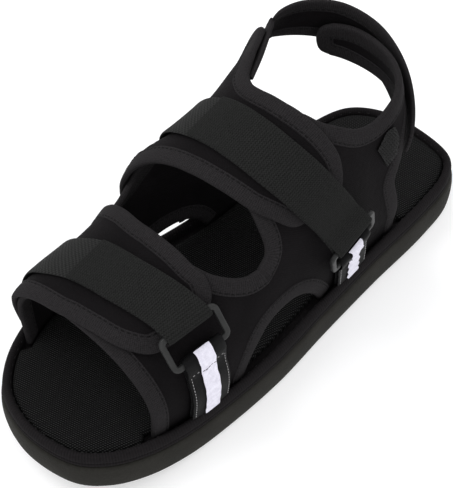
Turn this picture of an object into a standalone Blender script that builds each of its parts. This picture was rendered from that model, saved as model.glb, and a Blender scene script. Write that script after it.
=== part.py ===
"""A post operative sandal for the left foot, with an open toe and an open heel.

Lengths are in metres. X points to the outer side of the foot, Y to the heel and
Z up. A place along the shoe is a share of its length, counted from the heel. A
place on the upper is such a share and a turn in degrees, from 0 at the outer
edge of the sole, over the instep at 90, to 180 at the inner edge.
"""
import math

import bmesh
import bpy
import numpy as np
from mathutils import Vector
from mathutils.geometry import delaunay_2d_cdt

# Last
LENGTH = 0.285
BALL_WIDTH = 0.1094
INSTEP_HEIGHT = 0.0965
TOE_SPRING = 0.011
HEEL_LIFT = 0.002
ARCH_ROUNDNESS = 2.4

# Sole
OUTSOLE_HEIGHT = 0.0170
RIM_HEIGHT = 0.0075
TRAY_FLOOR = 0.0018
RIM_STEP = 0.0012
RIM_WIDTH = 0.0048
INSOLE_HEIGHT = 0.0046
INSOLE_DISH = 0.0008
TREAD_DEPTH = 0.0018
TREAD_GROOVE = 0.0030
TREAD_PITCH = 0.0150
TREAD_MARGIN = 0.0100
TREAD_CHEVRON = 0.0080

# Cloth
WALL = 0.0025
FLAP_WALL = 0.0022
BINDING_WIDTH = 0.0080
BINDING_STEP = 0.0005
SEAM_DEPTH = 0.0017
WEBBING = 0.0013
STRAP_WIDTH = 0.0250
TAPE_WIDTH = 0.0225
STRIPE_WIDTH = 0.0088
STRIPE_THICKNESS = 0.0006
PATCH_THICKNESS = 0.0008

# Rings
RING_WIDTH = 0.0335
RING_LENGTH = 0.0165
RING_BAR = 0.0030
RING_THICKNESS = 0.0026
RING_RAISE = 0.0018

# Ankle
ANKLE_STRAP_WIDTH = 0.0260
ANKLE_STRAP_THICKNESS = 0.0024
ANKLE_WIDTH = 0.603 * BALL_WIDTH
ANKLE_DEPTH = 0.0255
LOOP_WIDTH = 0.805 * BALL_WIDTH
LOOP_DEPTH = 0.0400
LOOP_INWARD = 0.0020
STRAP_RELEASE = 0.0140

GAP = 0.0003
LAYER_GAP = 0.0006
FOOT_CLEARANCE = 0.0013

# The outline of the sole: along is a share of LENGTH, and outer and inner are
# half widths as shares of BALL_WIDTH.
SOLE = {
    "along": (0.0, 0.015, 0.06, 0.15, 0.30, 0.45, 0.58, 0.70, 0.80, 0.88, 0.94, 0.98, 1.0),
    "outer": (0.0, 0.242, 0.328, 0.373, 0.399, 0.435, 0.473, 0.478, 0.467, 0.427, 0.356, 0.250, 0.009),
    "inner": (0.0, 0.223, 0.370, 0.432, 0.420, 0.411, 0.452, 0.504, 0.521, 0.445, 0.336, 0.205, -0.009),
}

# The sections of the last: height is a share of INSTEP_HEIGHT, top is where the
# highest point lies across, as a share of BALL_WIDTH, and outer and inner tell
# how far each side bellies out, as shares of its half width.
LAST = {
    "along": (0.05, 0.15, 0.25, 0.35, 0.45, 0.50, 0.57, 0.64, 0.70, 0.80, 0.86, 0.95),
    "height": (1.554, 1.40, 1.254, 1.124, 1.0, 0.938, 0.845, 0.736, 0.642, 0.528, 0.460, 0.383),
    "top": (-0.018, -0.018, -0.018, -0.018, -0.018, -0.027, -0.027, -0.030, -0.037, -0.046, -0.053, -0.055),
    "inner": (0.30, 0.38, 0.44, 0.29, 0.245, 0.27, 0.32, 0.14, 0.06, 0.05, 0.16, 0.16),
}
FLARE_HEIGHT = 0.026

# How much of the toe's upward turn each piece of the sole takes, at its foot and at its top.
OUTSOLE_TURN = (0.0, 0.7)
RIM_TURN = (0.7, 1.0)
INSOLE_TURN = (0.78, 1.0)
TAB_START = 0.25

# The walls of the sole's pieces: inset from the outline and height, as shares.
OUTSOLE_WALL = {
    "inset": (1.0, 0.30, 0.0, -0.10, 0.0, 0.15, 0.50),
    "height": (0.0, 0.05, 0.20, 0.50, 0.78, 0.94, 1.0),
}
OUTSOLE_EDGE = 0.0030
RIM_WALL = {
    "inset": (0.08, 0.0, 0.06, 0.32, 0.62, 0.90, 1.0),
    "height": (0.0, 0.38, 0.70, 0.95, 1.0, 0.82, 0.24),
}
INSOLE_WALL = {
    "inset": (0.0, 0.0, 0.10, 0.34, 1.0),
    "height": (0.0, 0.45, 0.72, 0.90, 1.0),
}
INSOLE_EDGE = 0.0090

# The edges of the upper, in degrees of turn.
COLLAR = {
    "along": (0.395, 0.376, 0.333, 0.297, 0.261, 0.235, 0.17, 0.10, 0.04, 0.005),
    "turn": (76, 64, 50, 44, 42.5, 43.5, 46, 47, 47.5, 47),
}
TAB_TIP = {"along": (0.005, -0.014, -0.020, -0.014, 0.005), "turn": (47, 45, 40.5, 36, 34)}
QUARTER_BACK = {
    "along": (0.005, 0.05, 0.11, 0.17, 0.205, 0.232, 0.250, 0.248, 0.239, 0.226),
    "turn": (34, 33, 32, 31, 28, 23, 18, 14, 8, 0),
}
INNER_BACK = {
    "along": (0.268, 0.278, 0.298, 0.340, 0.400, 0.450, 0.462, 0.455, 0.430, 0.402),
    "turn": (180, 172, 163, 153, 146, 138, 120, 104, 94, 88),
}
ARCH_OUTER = {"along": (0.440, 0.494, 0.544, 0.593, 0.630, 0.650), "turn": (0, 11, 16.5, 17, 11, 0)}
ARCH_INNER = {
    "along": (0.635, 0.61, 0.58, 0.545, 0.51, 0.48, 0.46),
    "turn": (180, 176.2, 174.2, 173.5, 174.2, 176.6, 180),
}
TOE_EDGE = {
    "along": (0.844, 0.843, 0.843, 0.844, 0.846, 0.848, 0.850, 0.852, 0.854, 0.858, 0.862, 0.866),
    "turn": (0, 12, 24, 38, 52, 68, 84, 100, 120, 140, 160, 180),
}
WINDOW = {
    "along": (0.583, 0.608, 0.633, 0.653, 0.664, 0.672, 0.673, 0.672, 0.668, 0.652, 0.622, 0.592, 0.572, 0.562,
              0.556, 0.551, 0.546, 0.547, 0.551, 0.553, 0.560),
    "turn": (41, 44, 51, 60, 69, 80, 95, 110, 124, 135, 139, 139, 132, 118,
             102, 88, 76, 66, 55, 48, 43),
}

# The two flaps that close over the foot from the inner side.
FRONT_FLAP = {
    "along": (0.848, 0.856, 0.862, 0.860, 0.857, 0.850, 0.843, 0.835, 0.822, 0.800, 0.770, 0.730, 0.697, 0.673,
              0.662, 0.665, 0.665, 0.666, 0.666, 0.660, 0.656, 0.655, 0.655),
    "turn": (180, 158, 134, 112, 99, 90, 81, 71, 62, 53.5, 50.5, 49.5, 50, 53,
             61, 70, 80, 92, 102, 115, 130, 150, 180),
}
REAR_FLAP = {
    "along": (0.452, 0.462, 0.480, 0.510, 0.545, 0.580, 0.600, 0.602, 0.602, 0.600, 0.590, 0.576, 0.570, 0.567,
              0.562, 0.555, 0.547, 0.531, 0.503, 0.465, 0.428, 0.400, 0.387, 0.381, 0.387, 0.395, 0.401, 0.405,
              0.407, 0.403, 0.387, 0.369, 0.351, 0.334, 0.3175, 0.303, 0.291, 0.284, 0.283, 0.289, 0.303, 0.320,
              0.336, 0.345, 0.344, 0.332, 0.314, 0.294, 0.268),
    "turn": (180, 176, 172.5, 169.5, 168.5, 169.5, 170, 168, 155, 140, 131, 117, 106, 97,
             86, 74, 65, 56, 44.5, 40, 38, 37.5, 40.5, 49, 60, 71, 80, 90,
             98, 105, 111.7, 114.8, 117, 119.2, 121, 122.5, 124, 127.5, 133, 138, 140.5, 141,
             142, 145, 149, 154, 160, 168, 180),
}

HOOK_PATCH = {
    "along": (0.292, 0.268, 0.248, 0.240, 0.248, 0.272, 0.292),
    "turn": (34, 37, 36, 31, 26, 25, 34),
}

# The straps' middle lines, from the inner side to the sole's outer edge.
FRONT_STRAP = {
    "turn": (180, 150, 122, 107, 90, 76, 66, 53, 38, 20, 0),
    "along": (0.788, 0.784, 0.777, 0.765, 0.755, 0.744, 0.736, 0.731, 0.7335, 0.736, 0.739),
}
REAR_STRAP = {
    "turn": (180, 150, 130, 120, 110, 97, 85, 70, 57, 45, 31, 18.5, 0),
    "along": (0.458, 0.476, 0.484, 0.484, 0.483, 0.482, 0.4805, 0.475, 0.463, 0.4475, 0.421, 0.397, 0.366),
}
FRONT_RING_TURN = 45.5
REAR_RING_TURN = 18.5
FRONT_STRAP_END = 104.5
REAR_STRAP_END = 109.5

# The ankle strap starts between the rear flap and the foot, and then goes round
# the leg: its turn there is 180 on the inner side and 90 behind the heel. height
# is over the floor as a share of INSTEP_HEIGHT, and lean is in degrees.
ANKLE_START = {"along": (0.385, 0.359, 0.334, 0.308, 0.282), "turn": (123.5, 126.2, 128.8, 131.4, 133.8)}
ANKLE = {
    "turn": (171, 160, 148, 135, 120, 100, 85, 70, 55, 42, 33),
    "height": (1.19, 1.195, 1.195, 1.19, 1.18, 1.14, 1.085, 1.015, 0.93, 0.84, 0.77),
    "lean": (26, 19, 12, 7, 3, 0, -2, -4, -6, -8, -8),
}

MESH = 0.0066
RIM_POINTS = 84


def table(rows, column, along, key="along"):
    """A column of a table as a smooth curve, read at each place in along."""
    x = np.asarray(rows[key], float)
    y = np.asarray(rows[column], float)
    if x[0] > x[-1]:
        x, y = x[::-1], y[::-1]
    slope = np.gradient(y, x)
    at = np.clip(np.asarray(along, float), x[0], x[-1])
    i = np.clip(np.searchsorted(x, at, side="right") - 1, 0, len(x) - 2)
    width = x[i + 1] - x[i]
    u = (at - x[i]) / width
    return (
        (1 + 2 * u) * (1 - u) ** 2 * y[i]
        + u * (1 - u) ** 2 * width * slope[i]
        + u * u * (3 - 2 * u) * y[i + 1]
        - u * u * (1 - u) * width * slope[i + 1]
    )


def ease(share):
    share = np.clip(share, 0, 1)
    return share * share * (3 - 2 * share)


def closed_curve(points, count):
    """A smooth closed curve through the points, as count points evenly spaced."""
    points = np.asarray(points, float)
    around = np.concatenate([points[-3:], points, points[:4]])
    step = np.sqrt(np.linalg.norm(np.diff(around, axis=0), axis=1))
    knots = np.concatenate([[0], np.cumsum(step)])
    fine = np.linspace(knots[3], knots[3 + len(points)], 40 * len(points) + 1)
    dense = np.empty((len(fine), points.shape[1]))
    for i in range(points.shape[1]):
        rows = {"along": knots, "value": around[:, i]}
        dense[:, i] = table(rows, "value", fine)
    run = np.concatenate([[0], np.cumsum(np.linalg.norm(np.diff(dense, axis=0), axis=1))])
    at = np.linspace(0, run[-1], count, endpoint=False)
    return np.stack([np.interp(at, run, dense[:, i]) for i in range(points.shape[1])], axis=1)


def sole_points():
    along = np.asarray(SOLE["along"])
    outer = np.asarray(SOLE["outer"])
    inner = np.asarray(SOLE["inner"])
    x = np.concatenate([outer, -inner[::-1][1:-1]]) * BALL_WIDTH
    y = (0.5 - np.concatenate([along, along[::-1][1:-1]])) * LENGTH
    return np.stack([x, y], axis=1)


def outline(inset, count=RIM_POINTS):
    """The sole's outline moved in by inset."""
    points = closed_curve(sole_points(), 4 * count)
    ahead = np.roll(points, -1, axis=0) - np.roll(points, 1, axis=0)
    ahead /= np.linalg.norm(ahead, axis=1)[:, None]
    away = np.stack([-ahead[:, 1], ahead[:, 0]], axis=1)
    return (points - inset * away)[::4]


def share_along(y):
    return 0.5 - np.asarray(y, float) / LENGTH


def spring(along):
    """How far the toe turns up, and the heel's lift, over the flat ground."""
    return TOE_SPRING * np.clip((np.asarray(along, float) - 0.66) / 0.34, 0, None) ** 2


def lift(along):
    return HEEL_LIFT * ease((0.68 - np.asarray(along, float)) / 0.5)


UPPER_INSET = RIM_STEP + RIM_WIDTH + 2 * GAP + WALL + BINDING_STEP
SEAM_LEVEL = OUTSOLE_HEIGHT + GAP + TRAY_FLOOR + GAP + SEAM_DEPTH
_edge = outline(UPPER_INSET, 240)


def edge(along, side):
    """Half width of the upper's inner face at the sole, on the outer or inner side."""
    half = _edge[_edge[:, 0] * side > 0]
    order = np.argsort(share_along(half[:, 1]))
    return np.interp(along, share_along(half[order, 1]), np.abs(half[order, 0]))


def last(along, turn):
    """The inner face of the upper, where the foot lies."""
    along, turn = np.broadcast_arrays(np.asarray(along, float), np.radians(np.asarray(turn, float)))
    inside = np.clip(turn, 0, math.pi)
    height = INSTEP_HEIGHT * table(LAST, "height", along)
    top = BALL_WIDTH * table(LAST, "top", along)
    power = 2 / ARCH_ROUNDNESS
    cosine, sine = np.cos(inside), np.sin(inside)
    half = np.where(cosine >= 0, edge(along, 1) - top, edge(along, -1) + top)
    half = half + (WALL + BINDING_STEP) * ease(height * np.clip(sine, 0, 1) ** power / FLARE_HEIGHT)
    belly = np.where(cosine >= 0, 0.0, table(LAST, "inner", along))
    out = np.abs(cosine) ** power + belly * np.sin(2 * inside) ** 2
    x = top + np.sign(cosine) * half * out
    z = SEAM_LEVEL + spring(along) + lift(along) + height * np.clip(sine, 0, 1) ** power
    below = np.clip(-turn, 0, None) + np.clip(turn - math.pi, 0, None)
    return np.stack([x, (0.5 - along) * LENGTH, z - below * INSTEP_HEIGHT / 2], axis=-1)


def turn_over_rim(along):
    """The turn at which the upper has just cleared the sole's rim."""
    clear = OUTSOLE_HEIGHT + GAP + RIM_HEIGHT + FOOT_CLEARANCE - SEAM_LEVEL
    share = clear / (INSTEP_HEIGHT * float(table(LAST, "height", along)))
    return math.degrees(math.asin(share ** (ARCH_ROUNDNESS / 2)))


def oval(turn, width, depth, centre):
    """A point of an oval round the leg, seen from above."""
    turn = np.radians(turn)
    return np.stack([centre[0] + width / 2 * np.cos(turn), centre[1] + depth * np.sin(turn)], axis=-1)


def leg_centre():
    return BALL_WIDTH * LAST["top"][2], (0.5 - TAB_START) * LENGTH


def upper_face(along, turn):
    """The last, which behind TAB_START follows the oval of the leg."""
    along, turn = np.broadcast_arrays(np.asarray(along, float), np.asarray(turn, float))
    start = last(np.maximum(along, TAB_START), turn)
    run = (TAB_START - along) * LENGTH
    angles = np.linspace(0, 170, 200)
    centre = leg_centre()
    path = oval(angles, ANKLE_WIDTH, ANKLE_DEPTH, centre)
    length = np.concatenate([[0], np.cumsum(np.linalg.norm(np.diff(path, axis=0), axis=1))])
    angle = np.interp(run, length, angles)
    there = oval(angle, ANKLE_WIDTH, ANKLE_DEPTH, centre)
    away = np.stack(
        [np.cos(np.radians(angle)) * ANKLE_DEPTH, np.sin(np.radians(angle)) * ANKLE_WIDTH / 2], axis=-1
    )
    away /= np.linalg.norm(away, axis=-1)[..., None]
    beyond = (start[..., 0] - (centre[0] + ANKLE_WIDTH / 2)) * (1 - ease(run / ANKLE_WIDTH))
    behind = np.stack(
        [there[..., 0] + beyond * away[..., 0], there[..., 1] + beyond * away[..., 1], start[..., 2]], axis=-1
    )
    return np.where((run > 0)[..., None], behind, start)


def slopes(along, turn):
    step, degree = 0.001, 0.5
    by_along = (upper_face(along + step, turn) - upper_face(along - step, turn)) / (2 * step)
    by_turn = (upper_face(along, turn + degree) - upper_face(along, turn - degree)) / (2 * degree)
    return by_along, by_turn


def outward(along, turn):
    by_along, by_turn = slopes(along, turn)
    away = np.cross(by_turn, by_along)
    return away / np.linalg.norm(away, axis=-1)[..., None]


def over(along, turn, distance):
    """A point at a distance out from the upper's inner face."""
    away = outward(along, turn)
    return upper_face(along, turn) + away * np.asarray(distance, float)[..., None]


def run_of(rows):
    """A table of along and turn as points, in order."""
    return np.stack([np.asarray(rows["along"], float), np.asarray(rows["turn"], float)], axis=1)


def resample(points, spacing, smooth=True):
    """An open run of points, made smooth and evenly spaced on the upper."""
    points = np.asarray(points, float)
    knots = np.arange(len(points), dtype=float)
    if smooth and len(points) > 2:
        fine = np.linspace(0, knots[-1], 30 * len(points))
        points = np.stack(
            [table({"along": knots, "value": points[:, i]}, "value", fine) for i in range(2)], axis=1
        )
    there = upper_face(points[:, 0], points[:, 1])
    run = np.concatenate([[0], np.cumsum(np.linalg.norm(np.diff(there, axis=0), axis=1))])
    at = np.linspace(0, run[-1], max(2, round(run[-1] / spacing) + 1))
    return np.stack([np.interp(at, run, points[:, i]) for i in range(2)], axis=1)


def moved_in(points, distance, closed):
    """Points at a distance from an edge, to its left as the edge runs."""
    there = upper_face(points[:, 0], points[:, 1])
    if closed:
        ahead = np.roll(there, -1, axis=0) - np.roll(there, 1, axis=0)
    else:
        ahead = np.gradient(there, axis=0)
    ahead /= np.linalg.norm(ahead, axis=1)[:, None]
    by_along, by_turn = slopes(points[:, 0], points[:, 1])
    away = np.cross(by_turn, by_along)
    away /= np.linalg.norm(away, axis=1)[:, None]
    left = np.cross(away, ahead) * distance
    result = points.copy()
    for i in range(len(points)):
        grid = np.stack([by_along[i], by_turn[i]], axis=1)
        result[i] += np.linalg.lstsq(grid, left[i], rcond=None)[0]
    landed = upper_face(result[:, 0], result[:, 1])
    near = np.linalg.norm(landed[:, None] - there[None], axis=2).min(axis=1)
    return result[near > 0.93 * abs(distance)]


def inside(points, loops):
    """Which points lie within the first loop and outside the others."""
    found = np.zeros(len(points), bool)
    for loop in loops:
        x, y = loop[:, 0], loop[:, 1]
        ahead_x, ahead_y = np.roll(x, -1), np.roll(y, -1)
        crosses = (y[None] > points[:, 1:2]) != (ahead_y[None] > points[:, 1:2])
        rise = np.where(ahead_y == y, 1, ahead_y - y)
        at = (ahead_x - x)[None] * (points[:, 1:2] - y[None]) / rise[None] + x[None]
        found ^= (np.sum(crosses & (points[:, 0:1] < at), axis=1) % 2).astype(bool)
    return found


def triangles(loops, inner, scale):
    """Triangles over the outline, with its holes left open, and their corners."""
    flat = [loop * scale for loop in loops]
    corners, edges = [], []
    for loop in flat:
        first = len(corners)
        corners.extend(Vector(p) for p in loop)
        edges.extend((first + i, first + (i + 1) % len(loop)) for i in range(len(loop)))
    corners.extend(Vector(p) for p in inner * scale)
    found = delaunay_2d_cdt(corners, edges, [], 0, 1e-7)
    where = np.array([tuple(v) for v in found[0]])
    faces = np.array(found[2])
    middle = where[faces].mean(axis=1)
    return where / scale, faces[inside(middle, flat)]


FLAT = np.array([LENGTH, INSTEP_HEIGHT / 110])


def grid_inside(loops, extra, spacing):
    """Points of an even grid that lie clear of the edges."""
    flat = [loop * FLAT for loop in loops]
    everything = np.concatenate(flat + ([extra * FLAT] if len(extra) else []))
    low, high = flat[0].min(axis=0), flat[0].max(axis=0)
    along = np.arange(math.floor(low[0] / spacing), math.ceil(high[0] / spacing) + 1) * spacing
    turn = np.arange(math.floor(low[1] / spacing), math.ceil(high[1] / spacing) + 1) * spacing
    points = np.stack(np.meshgrid(along, turn, indexing="ij"), axis=-1).reshape(-1, 2)
    points = points[inside(points, flat)]
    clear = np.sqrt(((points[:, None] - everything[None]) ** 2).sum(axis=2)).min(axis=1)
    return points[clear > 0.55 * spacing] / FLAT


def new_object(name, corners, faces, look):
    """An object from its corners and faces, with the faces turned outwards."""
    mesh = bpy.data.meshes.new(name)
    mesh.from_pydata([tuple(map(float, c)) for c in corners], [], [tuple(map(int, f)) for f in faces])
    work = bmesh.new()
    work.from_mesh(mesh)
    bmesh.ops.remove_doubles(work, verts=work.verts, dist=1e-7)
    bmesh.ops.recalc_face_normals(work, faces=work.faces)
    if work.calc_volume(signed=True) < 0:
        bmesh.ops.reverse_faces(work, faces=work.faces)
    work.to_mesh(mesh)
    work.free()
    mesh.materials.append(look)
    mesh.shade_smooth()
    mesh.set_sharp_from_angle(angle=math.radians(40))
    thing = bpy.data.objects.new(name, mesh)
    bpy.context.scene.collection.objects.link(thing)
    return thing


def wall(name, loops, bound, low, high, look, spacing=MESH):
    """A wall between two distances from the last, a step thicker along its bound edges."""
    rings, borders = [], []
    for points, closed in bound:
        borders.append(upper_face(points[:, 0], points[:, 1]))
        for reach in (BINDING_WIDTH - GAP, BINDING_WIDTH + GAP):
            ring = moved_in(points, reach, closed)
            rings.append(ring[inside(ring * FLAT, [loop * FLAT for loop in loops])])
    extra = np.concatenate(rings) if rings else np.empty((0, 2))
    if len(extra):
        loop_points = upper_face(*np.concatenate(loops).T)
        clear = np.linalg.norm(upper_face(*extra.T)[:, None] - loop_points[None], axis=2).min(axis=1)
        extra = extra[clear > 0.25 * BINDING_WIDTH]
    inner = np.concatenate([extra, grid_inside(loops, extra, spacing)])
    where, faces = triangles(loops, inner, FLAT)
    step = np.zeros(len(where))
    if borders:
        near = np.full(len(where), np.inf)
        here = upper_face(where[:, 0], where[:, 1])
        for border in borders:
            near = np.minimum(near, np.linalg.norm(here[:, None] - border[None], axis=2).min(axis=1))
        step = np.where(near < BINDING_WIDTH + 0.2 * GAP, BINDING_STEP, 0.0)
    outer_side = over(where[:, 0], where[:, 1], high + step)
    inner_side = over(where[:, 0], where[:, 1], np.full(len(where), low))
    count = len(where)
    edges = {}
    for face in faces:
        for a, b in zip(face, np.roll(face, -1)):
            edges[(a, b)] = 1
    rim = [(a, b) for a, b in edges if (b, a) not in edges]
    solid = [tuple(f) for f in faces]
    solid += [tuple(f[::-1] + count) for f in faces]
    solid += [(b, a, a + count, b + count) for a, b in rim]
    return new_object(name, np.concatenate([outer_side, inner_side]), solid, look)


def cap(loop, level):
    """Rows of points across a sole's loop, for a face that follows the toe's turn."""
    flat = loop[:, :2]
    spacing = 2.6 * MESH
    low, high = flat.min(axis=0), flat.max(axis=0)
    x = np.arange(low[0], high[0], spacing)
    y = np.arange(low[1], high[1], spacing)
    points = np.stack(np.meshgrid(x, y, indexing="ij"), axis=-1).reshape(-1, 2)
    points = points[inside(points, [flat])]
    clear = np.sqrt(((points[:, None] - flat[None]) ** 2).sum(axis=2)).min(axis=1)
    points = points[clear > 0.6 * spacing]
    where, faces = triangles([flat], points, np.ones(2))
    return where, faces, level(where[len(flat):])


def sole_solid(name, wall_rows, base, scale_in, scale_up, raised, look, dish=0.0, shift=None):
    """A piece of the sole: its wall climbs the rows, and its faces follow the toe's turn."""
    loops = []
    for inset, height in zip(wall_rows["inset"], wall_rows["height"]):
        flat = outline(base[0] + inset * scale_in)
        if shift is not None:
            flat = shift(flat)
        along = share_along(flat[:, 1])
        turned = raised[0] + height * (raised[1] - raised[0])
        level = base[1] + height * scale_up + spring(along) + turned * lift(along)
        loops.append(np.column_stack([flat, level]))
    corners = list(np.concatenate(loops))
    size = len(loops[0])
    faces = []
    for i in range(len(loops) - 1):
        for j in range(size):
            k = (j + 1) % size
            faces.append((i * size + j, i * size + k, (i + 1) * size + k, (i + 1) * size + j))
    for index, down in ((0, 0.0), (len(loops) - 1, dish)):
        loop = loops[index]
        height = wall_rows["height"][index]
        turned = raised[0] + height * (raised[1] - raised[0])

        def level(points, height=height, down=down, loop=loop, turned=turned):
            along = share_along(points[:, 1])
            near = np.sqrt(((points[:, None] - loop[None, :, :2]) ** 2).sum(axis=2)).min(axis=1)
            sunk = down * ease(near / (BALL_WIDTH / 4))
            return base[1] + height * scale_up + spring(along) + turned * lift(along) - sunk

        where, flat_faces, levels = cap(loop, level)
        first = len(corners)
        corners.extend(np.column_stack([where[size:], levels]))
        for face in flat_faces:
            found = tuple(index * size + v if v < size else first + v - size for v in face)
            faces.append(found if index else found[::-1])
    return new_object(name, corners, faces, look)


def thicken(path, thickness):
    """The two sides of a line with a thickness, in its own plane."""
    ahead = np.gradient(path, axis=0)
    ahead /= np.linalg.norm(ahead, axis=1)[:, None]
    left = np.stack([-ahead[:, 1], ahead[:, 0]], axis=1) * thickness / 2
    return path + left, path - left


def band(name, path, thickness, place, width, look, across=5):
    """A strip with a thickness that runs along a path, placed point by point."""
    sides = np.concatenate(thicken(path, thickness))
    count = len(path)
    shares = np.linspace(-0.5, 0.5, across)
    corners = np.concatenate([place(sides[:, 0], sides[:, 1], share * width) for share in shares])
    section = list(range(count)) + list(range(2 * count - 1, count - 1, -1))
    faces = []
    for i in range(across - 1):
        for a, b in zip(section, section[1:] + section[:1]):
            low, high = i * 2 * count, (i + 1) * 2 * count
            faces.append((low + a, low + b, high + b, high + a))
    top = (across - 1) * 2 * count
    for j in range(count - 1):
        faces.append((j, j + 1, count + j + 1, count + j))
        faces.append((top + j, top + count + j, top + count + j + 1, top + j + 1))
    return new_object(name, corners, faces, look)


class Strap:
    """The way of a strap over the upper, measured from the middle of its ring."""

    def __init__(self, rows, ring_turn):
        self.rows = rows
        turns = np.linspace(180, 0, 600)
        middles = upper_face(table(rows, "along", turns, "turn"), turns)
        run = np.concatenate([[0], np.cumsum(np.linalg.norm(np.diff(middles, axis=0), axis=1))])
        self.run = run - np.interp(-ring_turn, -turns, run)
        self.turns = turns
        start, stop = rows["along"][0], rows["along"][-1]
        self.start = self.run_at(180 - turn_over_rim(start))
        self.foot = self.run_at(turn_over_rim(stop))
        bar = ring_bars()
        self.high_bar = self.on_upper(-bar, RING_HIGH + RING_RAISE, 0.0)
        self.low_bar = self.on_upper(bar, RING_LOW + RING_RAISE, 0.0)
        down = self.low_bar - self.high_bar
        self.down = down / np.linalg.norm(down)
        quarter = STRAP_WIDTH / 4
        aside = self.on_upper(0.0, RING_HIGH, quarter) - self.on_upper(0.0, RING_HIGH, -quarter)
        aside -= self.down * (aside @ self.down)
        self.aside = aside / np.linalg.norm(aside)

    def run_at(self, turn):
        return float(np.interp(-turn, -self.turns, self.run))

    def on_upper(self, run, distance, beside):
        turn = np.interp(run, self.run, self.turns)
        along = table(self.rows, "along", turn, "turn")
        by_along, _ = slopes(along, turn)
        along = along + beside / np.linalg.norm(by_along, axis=-1)
        return over(along, turn, distance)

    def place(self, run, distance, beside):
        """Follows the upper, and runs straight across where the ring is near."""
        curved = self.on_upper(run, distance, beside)
        straight = self.on_upper(run, distance + RING_RAISE, 0.0) + self.aside * beside
        reach = ring_bars() + RING_BAR
        share = 1 - ease((np.abs(run) - reach) / reach)
        return curved + (straight - curved) * share[..., None]


def fold_round(centre, radius, start, stop, steps=7):
    angle = np.radians(np.linspace(start, stop, steps))
    return np.stack([centre[0] + radius * np.cos(angle), centre[1] + radius * np.sin(angle)], axis=1)


def ring_bars():
    """How far a ring's two cross bars lie from its middle."""
    return (RING_LENGTH - RING_BAR) / 2


FLAP_LOW = WALL + BINDING_STEP + LAYER_GAP
FLAP_HIGH = FLAP_LOW + FLAP_WALL
STRAP_LOW = FLAP_HIGH + BINDING_STEP + LAYER_GAP
TAPE_LOW = WALL + BINDING_STEP + LAYER_GAP
FOLD = RING_THICKNESS / 2 + GAP + WEBBING / 2
RING_HIGH = STRAP_LOW + WEBBING / 2 + FOLD
RING_LOW = TAPE_LOW + WEBBING / 2 + FOLD


def strap(name, way, end_turn, look):
    """A strap from the inner side through its ring and back on itself."""
    bar = -ring_bars()
    low = STRAP_LOW + WEBBING / 2
    stop = way.run_at(end_turn)
    going = np.arange(way.start, bar - 0.004, MESH)
    out = np.column_stack([going, np.full(len(going), low)])
    turnback = fold_round((bar, RING_HIGH), FOLD, -90, 90, 7)
    back = np.arange(bar - 0.005, stop - MESH / 2, -MESH)
    lie = low + WEBBING + LAYER_GAP
    settle = ease((bar - back) / 0.010)
    home = np.column_stack([back, (RING_HIGH + FOLD) * (1 - settle) + lie * settle])
    return band(name, np.concatenate([out, turnback, home]), WEBBING, way.place, STRAP_WIDTH, look)


def tape(name, way, look):
    """A tape from the sole up round the ring's lower bar and down again."""
    bar = ring_bars()
    low = TAPE_LOW + WEBBING / 2
    foot = way.foot
    going = np.append(np.arange(foot, bar + 0.005, -MESH * 0.8), bar + 0.0035)
    out = np.column_stack([going, np.full(len(going), low)])
    turnback = fold_round((bar, RING_LOW), FOLD, 270, 90, 7)
    back = np.arange(bar + 0.0035, foot, MESH * 0.8)
    back = np.append(back, foot)
    lie = low + WEBBING + LAYER_GAP
    settle = ease((back - bar) / 0.008)
    home = np.column_stack([back, (RING_LOW + FOLD) * (1 - settle) + lie * settle])
    return band(name, np.concatenate([out, turnback, home]), WEBBING, way.place, TAPE_WIDTH, look, 4)


def stripe(name, way, look):
    """The bright stripe down the middle of a tape, round its fold."""
    bar = ring_bars()
    top = TAPE_LOW + 2 * WEBBING + LAYER_GAP + GAP
    foot = way.foot
    fold = fold_round((bar, RING_LOW), FOLD + WEBBING / 2 + GAP + STRIPE_THICKNESS / 2, 150, 90, 4)
    down = np.append(np.arange(bar + 0.0035, foot, MESH * 0.8), foot)
    lie = top + STRIPE_THICKNESS / 2
    settle = ease((down - bar) / 0.008)
    start = RING_LOW + FOLD + WEBBING / 2 + GAP + STRIPE_THICKNESS / 2
    home = np.column_stack([down, start * (1 - settle) + lie * settle])
    return band(name, np.concatenate([fold, home]), STRIPE_THICKNESS, way.place, STRIPE_WIDTH, look, 3)


def ring(name, way, look):
    """A moulded rectangular ring that lies in the plane of the strap and the tape."""
    centre = (way.high_bar + way.low_bar) / 2
    aside, down = way.aside, way.down
    away = np.cross(down, aside)
    half_width = (RING_WIDTH - RING_BAR) / 2
    half_length = np.linalg.norm(way.low_bar - way.high_bar) / 2
    corner = 0.8 * RING_BAR
    path = []
    for cx, cy, start in ((1, 1, 0), (-1, 1, 90), (-1, -1, 180), (1, -1, 270)):
        middle = np.array([cx * (half_width - corner), cy * (half_length - corner)])
        path.append(fold_round(middle, corner, start, start + 90, 4))
    path = np.concatenate(path)
    ahead = np.roll(path, -1, axis=0) - np.roll(path, 1, axis=0)
    ahead /= np.linalg.norm(ahead, axis=1)[:, None]
    out = np.stack([ahead[:, 1], -ahead[:, 0]], axis=1)
    section = fold_round((0, 0), 0.5, 22.5, 337.5, 8) * 1.06
    size, count = len(section), len(path)
    corners = []
    for p, o in zip(path, out):
        for u, v in section:
            flat = p + o * u * RING_BAR
            corners.append(centre + aside * flat[0] + down * flat[1] + away * v * RING_THICKNESS)
    faces = []
    for i in range(count):
        for j in range(size):
            k, m = (i + 1) % count, (j + 1) % size
            faces.append((i * size + j, i * size + m, k * size + m, k * size + j))
    return new_object(name, corners, faces, look)


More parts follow.
